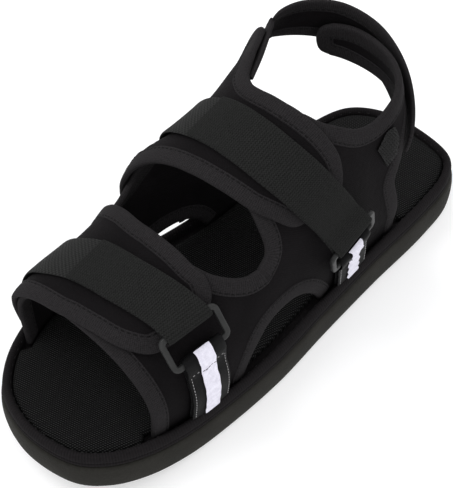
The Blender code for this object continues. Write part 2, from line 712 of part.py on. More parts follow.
def smooth_run(points, spacing):
    """An open smooth run through points, which may hold more than a place each."""
    knots = np.concatenate([[0], np.cumsum(np.sqrt(np.linalg.norm(np.diff(points[:, :3], axis=0), axis=1)))])
    fine = np.linspace(0, knots[-1], 30 * len(points))
    columns = [table({"along": knots, "value": column}, "value", fine) for column in points.T]
    dense = np.stack(columns, axis=1)
    run = np.concatenate([[0], np.cumsum(np.linalg.norm(np.diff(dense[:, :3], axis=0), axis=1))])
    at = np.linspace(0, run[-1], round(run[-1] / spacing) + 1)
    return at, np.stack([np.interp(at, run, dense[:, i]) for i in range(points.shape[1])], axis=1)


def ankle_strap(name, look):
    """The strap from the inner side round the back of the ankle to the outer side."""
    depth = FLAP_LOW / 2 - GAP
    along, turn = np.asarray(ANKLE_START["along"]), np.asarray(ANKLE_START["turn"], float)
    first = np.column_stack([over(along, turn, depth), outward(along, turn)])
    turns = np.asarray(ANKLE["turn"], float)
    x, y = leg_centre()
    x -= LOOP_INWARD
    y += ANKLE_DEPTH + WALL + BINDING_STEP + 2 * LAYER_GAP + ANKLE_STRAP_THICKNESS / 2 - LOOP_DEPTH
    angle = np.radians(turns)
    flat = oval(turns, LOOP_WIDTH, LOOP_DEPTH, (x, y))
    away = np.stack([np.cos(angle) * LOOP_DEPTH, np.sin(angle) * LOOP_WIDTH / 2, 0 * angle], axis=1)
    away /= np.linalg.norm(away, axis=1)[:, None]
    lean = np.radians(np.asarray(ANKLE["lean"], float))[:, None]
    away = away * np.cos(lean) + np.array([0, 0, 1.0]) * np.sin(lean)
    height = INSTEP_HEIGHT * np.asarray(ANKLE["height"])
    rest = np.column_stack([flat, height, away])
    run, path = smooth_run(np.concatenate([first, rest]), 0.8 * MESH)
    middle, away = path[:, :3], path[:, 3:]
    ahead = np.gradient(middle, axis=0)
    ahead /= np.linalg.norm(ahead, axis=1)[:, None]
    wide = np.cross(away, ahead)
    wide /= np.linalg.norm(wide, axis=1)[:, None]
    away = np.cross(ahead, wide)
    half = ANKLE_STRAP_WIDTH / 2
    left = np.clip((run[-1] - run) / half, 0, 1)
    reach = half * np.sqrt(np.clip(1 - (1 - left) ** 2, 0.02, 1))
    corners = []
    across = np.linspace(-1, 1, 5)
    laid = (along[0] - along[-1]) * LENGTH
    on = np.minimum(run / laid, 2)
    on_along = along[0] + on * (along[-1] - along[0])
    on_turn = turn[0] + on * (turn[-1] - turn[0])
    _, by_turn = slopes(on_along, on_turn)
    degree = np.linalg.norm(by_turn, axis=1)
    free = ease((run - laid - 0.0010) / STRAP_RELEASE)[:, None]
    for side in (0.5, -0.5):
        for share in across:
            flat = middle + wide * (reach * share)[:, None] + away * side * ANKLE_STRAP_THICKNESS
            bent = over(on_along, on_turn + share * reach / degree, depth + side * ANKLE_STRAP_THICKNESS)
            corners.append(flat * free + bent * (1 - free))
    corners = np.concatenate(corners)
    count, rows = len(run), len(across)
    order = list(range(rows)) + list(range(2 * rows - 1, rows - 1, -1))
    faces = []
    for a, b in zip(order, order[1:] + order[:1]):
        for i in range(count - 1):
            faces.append((a * count + i, a * count + i + 1, b * count + i + 1, b * count + i))
    for i in (0, count - 1):
        faces.append(tuple(a * count + i for a in order))
    return new_object(name, corners, faces, look)


def material(name, colour, roughness, metallic=0.0):
    look = bpy.data.materials.new(name)
    look.use_nodes = True
    shader = look.node_tree.nodes["Principled BSDF"]
    shader.inputs["Base Color"].default_value = (*colour, 1.0)
    shader.inputs["Roughness"].default_value = roughness
    shader.inputs["Metallic"].default_value = metallic
    look.diffuse_color = (*colour, 1.0)
    return look


def joined(*runs):
    """A closed loop from open runs, each corner kept once."""
    return np.concatenate([run[:-1] for run in runs])


def line_between(start, stop, spacing=MESH):
    return resample([start, stop], spacing, smooth=False)


def upper(look):
    foot = -math.degrees(SEAM_DEPTH / (INSTEP_HEIGHT / 2))
    across = 180 - foot
    toe = resample(run_of(TOE_EDGE), MESH)
    inner_back = resample(run_of(INNER_BACK), MESH)
    collar = resample(run_of(COLLAR), MESH)
    throat = line_between(inner_back[-1], collar[0])
    tip = resample(run_of(TAB_TIP), MESH * 0.7)
    back = resample(run_of(QUARTER_BACK), MESH)
    arch_outer = resample(run_of(ARCH_OUTER), MESH * 0.8)
    arch_inner = resample(run_of(ARCH_INNER), MESH * 0.8)
    window = resample(np.concatenate([run_of(WINDOW), run_of(WINDOW)[:1]]), MESH * 0.9)[:-1]
    corners = [
        line_between(back[-1], (back[-1][0], foot), GAP * 4),
        line_between((back[-1][0], foot), (arch_outer[0][0], foot)),
        line_between((arch_outer[0][0], foot), arch_outer[0], GAP * 4),
        arch_outer,
        line_between(arch_outer[-1], (arch_outer[-1][0], foot), GAP * 4),
        line_between((arch_outer[-1][0], foot), (toe[0][0], foot)),
        line_between((toe[0][0], foot), toe[0], GAP * 4),
        toe,
        line_between(toe[-1], (toe[-1][0], across), GAP * 4),
        line_between((toe[-1][0], across), (arch_inner[0][0], across)),
        line_between((arch_inner[0][0], across), arch_inner[0], GAP * 4),
        arch_inner,
        line_between(arch_inner[-1], (arch_inner[-1][0], across), GAP * 4),
        line_between((arch_inner[-1][0], across), (inner_back[0][0], across)),
        line_between((inner_back[0][0], across), inner_back[0], GAP * 4),
        inner_back,
        throat,
        collar,
        tip,
        back,
    ]
    opening = np.concatenate([collar, tip[1:], back[1:]])
    edges = [(run[::-1], False) for run in (toe, arch_outer, arch_inner, opening)]
    edges.append((window, True))
    return wall("upper", [joined(*corners), window], edges, 0.0, WALL, look)


def flap(name, rows, look):
    points = run_of(rows)
    for end in (0, -1):
        points[end, 1] = 180 - turn_over_rim(points[end, 0])
    way = resample(points, MESH)
    foot = line_between(way[-1], way[0])
    return wall(name, [joined(way, foot)], [(way, False)], FLAP_LOW, FLAP_HIGH, look)


def hook_patch(look):
    """The rough patch on the outer side that the ankle strap fastens to."""
    way = resample(run_of(HOOK_PATCH), MESH * 0.8, smooth=False)[:-1]
    low = WALL + BINDING_STEP + GAP
    return wall("hook_patch", [way], [], low, low + PATCH_THICKNESS, look)


def tread(outsole):
    """Angled grooves across the underside, cut short of its edge."""
    work = bmesh.new()
    border = outline(TREAD_MARGIN, 200)
    count = int(LENGTH / TREAD_PITCH)
    for i in range(2, count - 1):
        y = LENGTH / 2 - i * TREAD_PITCH
        row = border[np.abs(border[:, 1] - y) < TREAD_PITCH / 2]
        if len(row) < 2 or y < -0.38 * LENGTH:
            continue
        left, right = row[:, 0].min(), row[:, 0].max()
        middle = (left + right) / 2
        points = [(left, y), (middle, y - TREAD_CHEVRON), (right, y)]
        half = TREAD_GROOVE / 2
        low = [work.verts.new((x, v + side * half, -TREAD_DEPTH)) for side in (-1, 1) for x, v in points]
        high = [
            work.verts.new((x, v + side * half, TREAD_DEPTH + float(spring(share_along(v)))))
            for side in (-1, 1)
            for x, v in points
        ]
        for a in (0, 1):
            work.faces.new((low[a], low[a + 1], low[a + 4], low[a + 3]))
            work.faces.new((high[a], high[a + 3], high[a + 4], high[a + 1]))
            work.faces.new((low[a], high[a], high[a + 1], low[a + 1]))
            work.faces.new((low[a + 3], low[a + 4], high[a + 4], high[a + 3]))
        work.faces.new((low[0], low[3], high[3], high[0]))
        work.faces.new((low[2], high[2], high[5], low[5]))
    bmesh.ops.recalc_face_normals(work, faces=work.faces)
    mesh = bpy.data.meshes.new("tread_cutter")
    work.to_mesh(mesh)
    work.free()
    cutter = bpy.data.objects.new("tread_cutter", mesh)
    bpy.context.scene.collection.objects.link(cutter)
    cutter.hide_render = True
    cutter.display_type = "WIRE"
    cut = outsole.modifiers.new("tread", "BOOLEAN")
    cut.operation = "DIFFERENCE"
    cut.solver = "EXACT"
    cut.object = cutter


def insole_shift(flat):
    """Draws the insole in where the upper's wall stands beside it."""
    along = share_along(flat[:, 1])
    outer = flat[:, 0] > 0
    back = np.where(outer, QUARTER_BACK["along"][-1], INNER_BACK["along"][0]) - 0.016
    front = np.where(outer, TOE_EDGE["along"][0], TOE_EDGE["along"][-1]) + 0.014
    beside = ease((along - back + 0.012) / 0.012) * ease((front + 0.012 - along) / 0.012)
    ahead = np.roll(flat, -1, axis=0) - np.roll(flat, 1, axis=0)
    ahead /= np.linalg.norm(ahead, axis=1)[:, None]
    away = np.stack([-ahead[:, 1], ahead[:, 0]], axis=1)
    return flat - away * (beside * (WALL + BINDING_STEP + 5 * GAP))[:, None]


def stand_on_middle(outsole):
    """Moves the shoe so that the middle of the sole is above the origin."""
    across = [corner[0] for corner in outsole.bound_box]
    along = [corner[1] for corner in outsole.bound_box]
    middle = Vector(((min(across) + max(across)) / 2, (min(along) + max(along)) / 2, 0))
    for thing in bpy.data.objects:
        thing.location = -middle


def main():
    for thing in list(bpy.data.objects):
        bpy.data.objects.remove(thing)
    rubber = material("sole_rubber", (0.030, 0.029, 0.025), 0.75)
    wrap = material("rim_fabric", (0.012, 0.011, 0.012), 0.80)
    mesh_fabric = material("insole_mesh", (0.010, 0.010, 0.010), 0.85)
    neoprene = material("upper_neoprene", (0.011, 0.010, 0.011), 0.80)
    webbing = material("strap_webbing", (0.024, 0.025, 0.024), 0.85)
    plastic = material("ring_plastic", (0.042, 0.044, 0.044), 0.45)
    satin = material("tape_satin", (0.010, 0.010, 0.011), 0.45)
    bright = material("stripe_reflective", (0.72, 0.70, 0.80), 0.40)
    hook = material("patch_hook", (0.015, 0.015, 0.015), 0.90)

    ground = (0.0, 0.0)
    outsole = sole_solid("outsole", OUTSOLE_WALL, ground, OUTSOLE_EDGE, OUTSOLE_HEIGHT, OUTSOLE_TURN, rubber)
    tread(outsole)
    rim_level = OUTSOLE_HEIGHT + GAP
    sole_solid("midsole", RIM_WALL, (RIM_STEP, rim_level), RIM_WIDTH, RIM_HEIGHT, RIM_TURN, wrap)
    insole_level = rim_level + TRAY_FLOOR + GAP
    sole_solid(
        "insole",
        INSOLE_WALL,
        (RIM_STEP + RIM_WIDTH + GAP, insole_level),
        INSOLE_EDGE,
        INSOLE_HEIGHT,
        INSOLE_TURN,
        mesh_fabric,
        INSOLE_DISH,
        insole_shift,
    )
    upper(neoprene)
    flap("front_flap", FRONT_FLAP, neoprene)
    flap("rear_flap", REAR_FLAP, neoprene)
    front = Strap(FRONT_STRAP, FRONT_RING_TURN)
    rear = Strap(REAR_STRAP, REAR_RING_TURN)
    strap("front_strap", front, FRONT_STRAP_END, webbing)
    strap("rear_strap", rear, REAR_STRAP_END, webbing)
    ring("front_ring", front, plastic)
    ring("rear_ring", rear, plastic)
    tape("front_ring_tape", front, satin)
    tape("rear_ring_tape", rear, satin)
    stripe("front_stripe", front, bright)
    stripe("rear_stripe", rear, bright)
    hook_patch(hook)
    ankle_strap("ankle_strap", neoprene)
    stand_on_middle(outsole)


main()
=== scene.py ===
"""The dressed post operative sandal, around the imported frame.

The shoe's surfaces come from the same named sizes and tables as its solids. A
place on the upper is a share of the length, from the heel, and a turn in
degrees: 0 at the sole's outer edge, 90 over the instep, 180 at its inner edge.
"""
import math

import bmesh
import bpy
import numpy as np
from mathutils import Matrix, Vector
from mathutils.geometry import delaunay_2d_cdt


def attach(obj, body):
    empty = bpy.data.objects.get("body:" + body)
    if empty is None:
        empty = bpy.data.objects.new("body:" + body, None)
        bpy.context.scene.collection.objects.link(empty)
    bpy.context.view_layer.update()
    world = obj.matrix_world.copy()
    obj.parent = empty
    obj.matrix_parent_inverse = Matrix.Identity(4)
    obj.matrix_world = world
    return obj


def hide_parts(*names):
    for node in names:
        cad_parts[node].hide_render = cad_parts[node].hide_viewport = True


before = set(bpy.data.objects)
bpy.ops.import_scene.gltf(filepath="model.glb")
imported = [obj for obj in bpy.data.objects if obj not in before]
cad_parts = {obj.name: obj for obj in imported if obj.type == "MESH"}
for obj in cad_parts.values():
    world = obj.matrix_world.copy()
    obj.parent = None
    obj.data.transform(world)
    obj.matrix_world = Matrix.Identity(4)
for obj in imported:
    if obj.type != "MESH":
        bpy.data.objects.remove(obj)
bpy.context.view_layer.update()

# Last
LENGTH = 0.285
BALL_WIDTH = 0.1094
INSTEP_HEIGHT = 0.0965
TOE_SPRING = 0.011
HEEL_LIFT = 0.002
ARCH_ROUNDNESS = 2.4
SPRING_START = 0.66
LIFT_START = 0.68
LIFT_RUN = 0.5

# Sole
OUTSOLE_HEIGHT = 0.0170
RIM_HEIGHT = 0.0075
TRAY_FLOOR = 0.0018
RIM_STEP = 0.0012
RIM_WIDTH = 0.0048
INSOLE_HEIGHT = 0.0046
INSOLE_DISH = 0.0008
TREAD_DEPTH = 0.0018
TREAD_GROOVE = 0.0030
TREAD_PITCH = 0.0150
TREAD_MARGIN = 0.0100
TREAD_CHEVRON = 0.0080
TREAD_END = 0.88
OUTSOLE_EDGE = 0.0030
INSOLE_EDGE = 0.0090
# How much of the heel's lift each piece of the sole takes up, at its foot and at its top.
OUTSOLE_TURN = (0.0, 0.7)
RIM_TURN = (0.7, 1.0)
INSOLE_TURN = (0.78, 1.0)

# Cloth
WALL = 0.0025
FLAP_WALL = 0.0022
BINDING_WIDTH = 0.0080
BINDING_STEP = 0.0005
SEAM_DEPTH = 0.0017
WEBBING = 0.0013
STRAP_WIDTH = 0.0250
TAPE_WIDTH = 0.0225
STRIPE_WIDTH = 0.0088
STRIPE_THICKNESS = 0.0006
PATCH_THICKNESS = 0.0008

# Rings
RING_WIDTH = 0.0335
RING_LENGTH = 0.0165
RING_BAR = 0.0030
RING_THICKNESS = 0.0026
RING_RAISE = 0.0018

# Ankle
ANKLE_STRAP_WIDTH = 0.0260
ANKLE_STRAP_THICKNESS = 0.0024
ANKLE_WIDTH = 0.603 * BALL_WIDTH
ANKLE_DEPTH = 0.0255
LOOP_WIDTH = 0.805 * BALL_WIDTH
LOOP_DEPTH = 0.0400
LOOP_INWARD = 0.0020
STRAP_RELEASE = 0.0140

GAP = 0.0003
LAYER_GAP = 0.0006
FOOT_CLEARANCE = 0.0013

# Stitches
STITCH_LENGTH = 0.0021
STITCH_PITCH = 0.0030
STITCH_RADIUS = 0.00028
STITCH_BORDER = 0.0013
SMALL_STITCH = {"radius": 0.00016, "length": 0.0012}
FOLD_STITCH = {"radius": 0.00020, "length": 0.0016, "pitch": 0.0017}
RIM_STITCH_PITCH = 0.0052
TAPE_STITCH_PITCH = 0.0019

# How far the stitches' middles lie off the outside and the inside of a wall, off the
# ankle strap and off a tape.
OUTSIDE_RISE = 0.00034
INSIDE_RISE = 0.00024
ANKLE_RISE = 0.00032
TAPE_RISE = 0.00012
STRIPE_RISE = 0.0001

# The seams of a tape and of its stripe, from the ring's bar and in from the edge.
TAPE_SEAM_START = 0.0062
TAPE_SEAM_INSET = 0.0013
TAPE_CROSS_SEAM = 0.0060
STRIPE_CROSS_SEAM = 0.0066

# The hooks of the patch: their spacing, how far they bend, and the height and radius
# of each ring of one.
HOOK_SPACING = 0.0012
HOOK_BEND = 0.00022
HOOK_TIP = 0.0005
HOOK_RINGS = ((0, 0.00020), (0.00028, 0.00016), (HOOK_TIP, 0.00016), (0.00056, 0.00007))

# The sole's half widths on its outer and its inner side, as shares of the ball's width.
SOLE = {
    "along": (0.0, 0.015, 0.06, 0.15, 0.30, 0.45, 0.58, 0.70, 0.80, 0.88, 0.94, 0.98, 1.0),
    "outer": (0.0, 0.242, 0.328, 0.373, 0.399, 0.435, 0.473, 0.478, 0.467, 0.427, 0.356, 0.250, 0.009),
    "inner": (0.0, 0.223, 0.370, 0.432, 0.420, 0.411, 0.452, 0.504, 0.521, 0.445, 0.336, 0.205, -0.009),
}

# The last's height as a share of the instep's, where its top lies across the ball's
# width, and how far its inner side swells.
LAST = {
    "along": (0.05, 0.15, 0.25, 0.35, 0.45, 0.50, 0.57, 0.64, 0.70, 0.80, 0.86, 0.95),
    "height": (1.554, 1.40, 1.254, 1.124, 1.0, 0.938, 0.845, 0.736, 0.642, 0.528, 0.460, 0.383),
    "top": (-0.018, -0.018, -0.018, -0.018, -0.018, -0.027, -0.027, -0.030, -0.037, -0.046, -0.053, -0.055),
    "inner": (0.30, 0.38, 0.44, 0.29, 0.245, 0.27, 0.32, 0.14, 0.06, 0.05, 0.16, 0.16),
}

# The binding of the ankle strap: shares of its width in from the border, and heights.
ANKLE_BINDING_WIDTH = 0.0070
ANKLE_BINDING = (
    (1.0, -0.0001), (0.98, 0.0003), (0.93, 0.00045), (0.86, 0.0004), (0.81, 0.0002), (0.76, 0.0004),
    (0.5, 0.0005), (0.2, 0.00048), (0.05, 0.0003),
)

# How high over the sole the upper flares out past the foot, and where the quarter
# leaves the last to follow the leg.
FLARE_HEIGHT = 0.026
TAB_START = 0.25

# The walls of the sole's pieces: inset from the outline and height, as shares.
OUTSOLE_WALL = {
    "inset": (1.0, 0.62, 0.30, 0.10, 0.0, -0.07, -0.10, -0.08, 0.0, 0.05, 0.15, 0.30, 0.50),
    "height": (0.0, 0.015, 0.05, 0.11, 0.20, 0.34, 0.50, 0.66, 0.78, 0.87, 0.94, 0.98, 1.0),
}
RIM_WALL = {
    "inset": (0.08, 0.02, -0.02, 0.0, 0.10, 0.02, 0.03, 0.09, 0.19, 0.32, 0.47, 0.62, 0.78, 0.90, 0.97, 1.0),
    "height": (0.0, 0.06, 0.20, 0.30, 0.36, 0.42, 0.56, 0.72, 0.85, 0.95, 1.0, 1.0, 0.94, 0.82, 0.60, 0.24),
}
INSOLE_WALL = {
    "inset": (0.0, 0.0, 0.0, 0.04, 0.10, 0.20, 0.34, 0.60, 1.0),
    "height": (0.0, 0.20, 0.45, 0.60, 0.72, 0.82, 0.90, 0.96, 1.0),
}

# The edges of the upper.
COLLAR = {
    "along": (0.395, 0.376, 0.333, 0.297, 0.261, 0.235, 0.17, 0.10, 0.04, 0.005),
    "turn": (76, 64, 50, 44, 42.5, 43.5, 46, 47, 47.5, 47),
}
TAB_TIP = {"along": (0.005, -0.014, -0.020, -0.014, 0.005), "turn": (47, 45, 40.5, 36, 34)}
QUARTER_BACK = {
    "along": (0.005, 0.05, 0.11, 0.17, 0.205, 0.232, 0.250, 0.248, 0.239, 0.226),
    "turn": (34, 33, 32, 31, 28, 23, 18, 14, 8, 0),
}
INNER_BACK = {
    "along": (0.268, 0.278, 0.298, 0.340, 0.400, 0.450, 0.462, 0.455, 0.430, 0.402),
    "turn": (180, 172, 163, 153, 146, 138, 120, 104, 94, 88),
}
ARCH_OUTER = {"along": (0.440, 0.494, 0.544, 0.593, 0.630, 0.650), "turn": (0, 11, 16.5, 17, 11, 0)}
ARCH_INNER = {
    "along": (0.635, 0.61, 0.58, 0.545, 0.51, 0.48, 0.46),
    "turn": (180, 176.2, 174.2, 173.5, 174.2, 176.6, 180),
}
TOE_EDGE = {
    "along": (0.844, 0.843, 0.843, 0.844, 0.846, 0.848, 0.850, 0.852, 0.854, 0.858, 0.862, 0.866),
    "turn": (0, 12, 24, 38, 52, 68, 84, 100, 120, 140, 160, 180),
}
WINDOW = {
    "along": (0.583, 0.608, 0.633, 0.653, 0.664, 0.672, 0.673, 0.672, 0.668, 0.652, 0.622, 0.592,
              0.572, 0.562, 0.556, 0.551, 0.546, 0.547, 0.551, 0.553, 0.560),
    "turn": (41, 44, 51, 60, 69, 80, 95, 110, 124, 135, 139, 139, 132, 118, 102, 88, 76, 66, 55, 48, 43),
}
FRONT_FLAP = {
    "along": (0.848, 0.856, 0.862, 0.860, 0.857, 0.850, 0.843, 0.835, 0.822, 0.800, 0.770, 0.730,
              0.697, 0.673, 0.662, 0.665, 0.665, 0.666, 0.666, 0.660, 0.656, 0.655, 0.655),
    "turn": (180, 158, 134, 112, 99, 90, 81, 71, 62, 53.5, 50.5, 49.5, 50, 53, 61, 70, 80, 92, 102,
             115, 130, 150, 180),
}
REAR_FLAP = {
    "along": (0.452, 0.462, 0.480, 0.510, 0.545, 0.580, 0.600, 0.602, 0.602, 0.600, 0.590, 0.576,
              0.570, 0.567, 0.562, 0.555, 0.547, 0.531, 0.503, 0.465, 0.428, 0.400, 0.387, 0.381,
              0.387, 0.395, 0.401, 0.405, 0.407, 0.403, 0.387, 0.369, 0.351, 0.334, 0.3175, 0.303,
              0.291, 0.284, 0.283, 0.289, 0.303, 0.320, 0.336, 0.345, 0.344, 0.332, 0.314, 0.294,
              0.268),
    "turn": (180, 176, 172.5, 169.5, 168.5, 169.5, 170, 168, 155, 140, 131, 117, 106, 97, 86, 74,
             65, 56, 44.5, 40, 38, 37.5, 40.5, 49, 60, 71, 80, 90, 98, 105, 111.7, 114.8, 117,
             119.2, 121, 122.5, 124, 127.5, 133, 138, 140.5, 141, 142, 145, 149, 154, 160, 168,
             180),
}
HOOK_PATCH = {
    "along": (0.292, 0.268, 0.248, 0.240, 0.248, 0.272, 0.292),
    "turn": (34, 37, 36, 31, 26, 25, 34),
}

# The straps' middle lines, from the inner side to the sole's outer edge.
FRONT_STRAP = {
    "turn": (180, 150, 122, 107, 90, 76, 66, 53, 38, 20, 0),
    "along": (0.788, 0.784, 0.777, 0.765, 0.755, 0.744, 0.736, 0.731, 0.7335, 0.736, 0.739),
}
REAR_STRAP = {
    "turn": (180, 150, 130, 120, 110, 97, 85, 70, 57, 45, 31, 18.5, 0),
    "along": (0.458, 0.476, 0.484, 0.484, 0.483, 0.482, 0.4805, 0.475, 0.463, 0.4475, 0.421, 0.397, 0.366),
}
FRONT_RING_TURN = 45.5
REAR_RING_TURN = 18.5
FRONT_STRAP_END = 104.5
REAR_STRAP_END = 109.5
ANKLE_START = {"along": (0.385, 0.359, 0.334, 0.308, 0.282), "turn": (123.5, 126.2, 128.8, 131.4, 133.8)}
ANKLE = {
    "turn": (171, 160, 148, 135, 120, 100, 85, 70, 55, 42, 33),
    "height": (1.19, 1.195, 1.195, 1.19, 1.18, 1.14, 1.085, 1.015, 0.93, 0.84, 0.77),
    "lean": (26, 19, 12, 7, 3, 0, -2, -4, -6, -8, -8),
}

# The creases: where each one's middle lies, which way it runs (0 along the shoe,
# 90 up and over it), its half length and half width, and how far it stands out.
CREASES = {
    "along": (0.545, 0.560, 0.600, 0.640, 0.430, 0.395, 0.330, 0.300, 0.300, 0.245, 0.690, 0.700,
              0.690, 0.810, 0.815, 0.520, 0.500, 0.350, 0.150, 0.080, 0.620, 0.560),
    "turn": (141, 133, 30, 34, 60, 150, 156, 70, 26, 12, 140, 158, 30, 120, 70, 30, 62, 120, 40, 40,
             150, 155),
    "heading": (60, 35, 20, -25, 25, 30, 60, 10, 70, 80, 40, -20, 65, 80, 70, 40, 20, 40, 5, 15, 20, -30),
    "reach": (0.012, 0.010, 0.016, 0.014, 0.020, 0.018, 0.015, 0.016, 0.014, 0.012, 0.014, 0.012,
              0.016, 0.014, 0.014, 0.018, 0.018, 0.014, 0.020, 0.016, 0.014, 0.012),
    "width": (0.0036, 0.0030, 0.0060, 0.0050, 0.0070, 0.0055, 0.0050, 0.0070, 0.0060, 0.0040,
              0.0050, 0.0045, 0.0060, 0.0050, 0.0060, 0.0070, 0.0070, 0.0060, 0.0060, 0.0060,
              0.0050, 0.0040),
    "height": (-0.0012, 0.0010, 0.0006, -0.0006, 0.0007, -0.0008, 0.0008, 0.0006, -0.0006, 0.0009,
               -0.0007, 0.0006, -0.0005, 0.0006, -0.0005, -0.0006, 0.0005, 0.0006, 0.0006, -0.0006,
               0.0008, -0.0007),
}

# The spacing of points over a surface and along an edge, and the points of an outline.
FINE = 0.0022
EDGE_STEP = 0.0015
RIM_POINTS = 84
SOLE_POINTS = 336


def smooth(x, y, at):
    """A smooth curve through the values y at the places x, read at each place in at."""
    x, y = np.asarray(x, float), np.asarray(y, float)
    if x[0] > x[-1]:
        x, y = x[::-1], y[::-1]
    slope = np.gradient(y, x)
    at = np.clip(np.asarray(at, float), x[0], x[-1])
    i = np.clip(np.searchsorted(x, at, side="right") - 1, 0, len(x) - 2)
    width = x[i + 1] - x[i]
    u = (at - x[i]) / width
    return (
        (1 + 2 * u) * (1 - u) ** 2 * y[i]
        + u * (1 - u) ** 2 * width * slope[i]
        + u * u * (3 - 2 * u) * y[i + 1]
        - u * u * (1 - u) * width * slope[i + 1]
    )


def table(rows, column, at, key="along"):
    """A column of a table as a smooth curve over its key column."""
    return smooth(rows[key], rows[column], at)


def smooth_rows(knots, points, at):
    """A smooth curve through points, read at each place in at."""
    return np.stack([smooth(knots, column, at) for column in points.T], axis=1)


def read_rows(run, rows, at):
    """Rows given along a run, read at any place on it."""
    return np.stack([np.interp(at, run, column) for column in rows.T], axis=-1)


def even(run, rows, spacing):
    """Rows given along a run, read at even spacing, and the places that they are read at."""
    at = np.linspace(0, run[-1], max(2, round(run[-1] / spacing) + 1))
    return read_rows(run, rows, at), at


def ease(share):
    share = np.clip(share, 0, 1)
    return share * share * (3 - 2 * share)


def totals(steps):
    """The running total of the steps, from zero."""
    return np.concatenate([[0], np.cumsum(steps)])


def run_length(points):
    return totals(np.linalg.norm(np.diff(points, axis=0), axis=1))


def knots_of(points):
    """Knots at which a smooth curve keeps close to unevenly spaced points."""
    return totals(np.sqrt(np.linalg.norm(np.diff(points, axis=0), axis=1)))


def unit(vectors):
    return vectors / np.linalg.norm(vectors, axis=-1)[..., None]


def ahead_of(points, closed=False):
    """The way ahead at each point of a run."""
    if closed:
        return unit(np.roll(points, -1, axis=0) - np.roll(points, 1, axis=0))
    return unit(np.gradient(points, axis=0))


def left_of(points, closed=False):
    """The way to the left at each point of a flat run."""
    ahead = ahead_of(points, closed)
    return np.stack([-ahead[:, 1], ahead[:, 0]], axis=1)


def grid(x, y):
    """All pairs of two runs of numbers."""
    return np.stack(np.meshgrid(x, y, indexing="ij"), axis=-1).reshape(-1, 2)


def closed_curve(points, count):
    """A smooth closed curve through the points, as count points evenly spaced."""
    around = np.concatenate([points[-3:], points, points[:4]])
    knots = knots_of(around)
    dense = smooth_rows(knots, around, np.linspace(knots[3], knots[3 + len(points)], 40 * len(points) + 1))
    run = run_length(dense)
    return read_rows(run, dense, np.linspace(0, run[-1], count, endpoint=False))


def sole_points():
    along, outer, inner = (np.asarray(SOLE[column]) for column in ("along", "outer", "inner"))
    x = np.concatenate([outer, -inner[::-1][1:-1]]) * BALL_WIDTH
    y = (0.5 - np.concatenate([along, along[::-1][1:-1]])) * LENGTH
    return np.stack([x, y], axis=1)


def outline(inset, count=RIM_POINTS):
    """The sole's outline moved in by inset."""
    points = closed_curve(sole_points(), 4 * count)
    return (points - inset * left_of(points, True))[::4]


def share_along(y):
    return 0.5 - np.asarray(y, float) / LENGTH


def spring(along):
    """How far the toe turns up over the flat ground."""
    return TOE_SPRING * np.clip((np.asarray(along, float) - SPRING_START) / (1 - SPRING_START), 0, None) ** 2


def lift(along):
    """How far the heel lies over the forefoot."""
    return HEEL_LIFT * ease((LIFT_START - np.asarray(along, float)) / LIFT_RUN)


UPPER_INSET = RIM_STEP + RIM_WIDTH + 2 * GAP + WALL + BINDING_STEP
SEAM_LEVEL = OUTSOLE_HEIGHT + GAP + TRAY_FLOOR + GAP + SEAM_DEPTH
FOOT_EDGE = outline(UPPER_INSET, 240)
SOLE_EDGE = outline(OUTSOLE_EDGE * OUTSOLE_WALL["inset"][6])
SHIFT = np.append(-(SOLE_EDGE.min(axis=0) + SOLE_EDGE.max(axis=0)) / 2, 0.0)


def edge(along, side):
    """Half width of the upper's inner face at the sole, on the outer or inner side."""
    half = FOOT_EDGE[FOOT_EDGE[:, 0] * side > 0]
    order = np.argsort(share_along(half[:, 1]))
    return np.interp(along, share_along(half[order, 1]), np.abs(half[order, 0]))


def last(along, turn):
    """The inner face of the upper, where the foot lies."""
    along, turn = np.broadcast_arrays(np.asarray(along, float), np.radians(np.asarray(turn, float)))
    inside_turn = np.clip(turn, 0, math.pi)
    height = INSTEP_HEIGHT * table(LAST, "height", along)
    top = BALL_WIDTH * table(LAST, "top", along)
    power = 2 / ARCH_ROUNDNESS
    cosine, sine = np.cos(inside_turn), np.sin(inside_turn)
    half = np.where(cosine >= 0, edge(along, 1) - top, edge(along, -1) + top)
    half = half + (WALL + BINDING_STEP) * ease(height * np.clip(sine, 0, 1) ** power / FLARE_HEIGHT)
    belly = np.where(cosine >= 0, 0.0, table(LAST, "inner", along))
    out = np.abs(cosine) ** power + belly * np.sin(2 * inside_turn) ** 2
    x = top + np.sign(cosine) * half * out
    z = SEAM_LEVEL + spring(along) + lift(along) + height * np.clip(sine, 0, 1) ** power
    below = np.clip(-turn, 0, None) + np.clip(turn - math.pi, 0, None)
    return np.stack([x, (0.5 - along) * LENGTH, z - below * INSTEP_HEIGHT / 2], axis=-1)


def turn_over_rim(along):
    """The turn at which the upper has just cleared the sole's rim."""
    clear = OUTSOLE_HEIGHT + GAP + RIM_HEIGHT + FOOT_CLEARANCE - SEAM_LEVEL
    share = clear / (INSTEP_HEIGHT * float(table(LAST, "height", along)))
    return math.degrees(math.asin(share ** (ARCH_ROUNDNESS / 2)))


def oval(turn, width, depth, centre):
    """A point of an oval round the leg, seen from above."""
    turn = np.radians(turn)
    return np.stack([centre[0] + width / 2 * np.cos(turn), centre[1] + depth * np.sin(turn)], axis=-1)


def leg_centre():
    return BALL_WIDTH * LAST["top"][2], (0.5 - TAB_START) * LENGTH


LEG_ANGLES = np.linspace(0, 170, 200)
LEG_RUN = run_length(oval(LEG_ANGLES, ANKLE_WIDTH, ANKLE_DEPTH, leg_centre()))


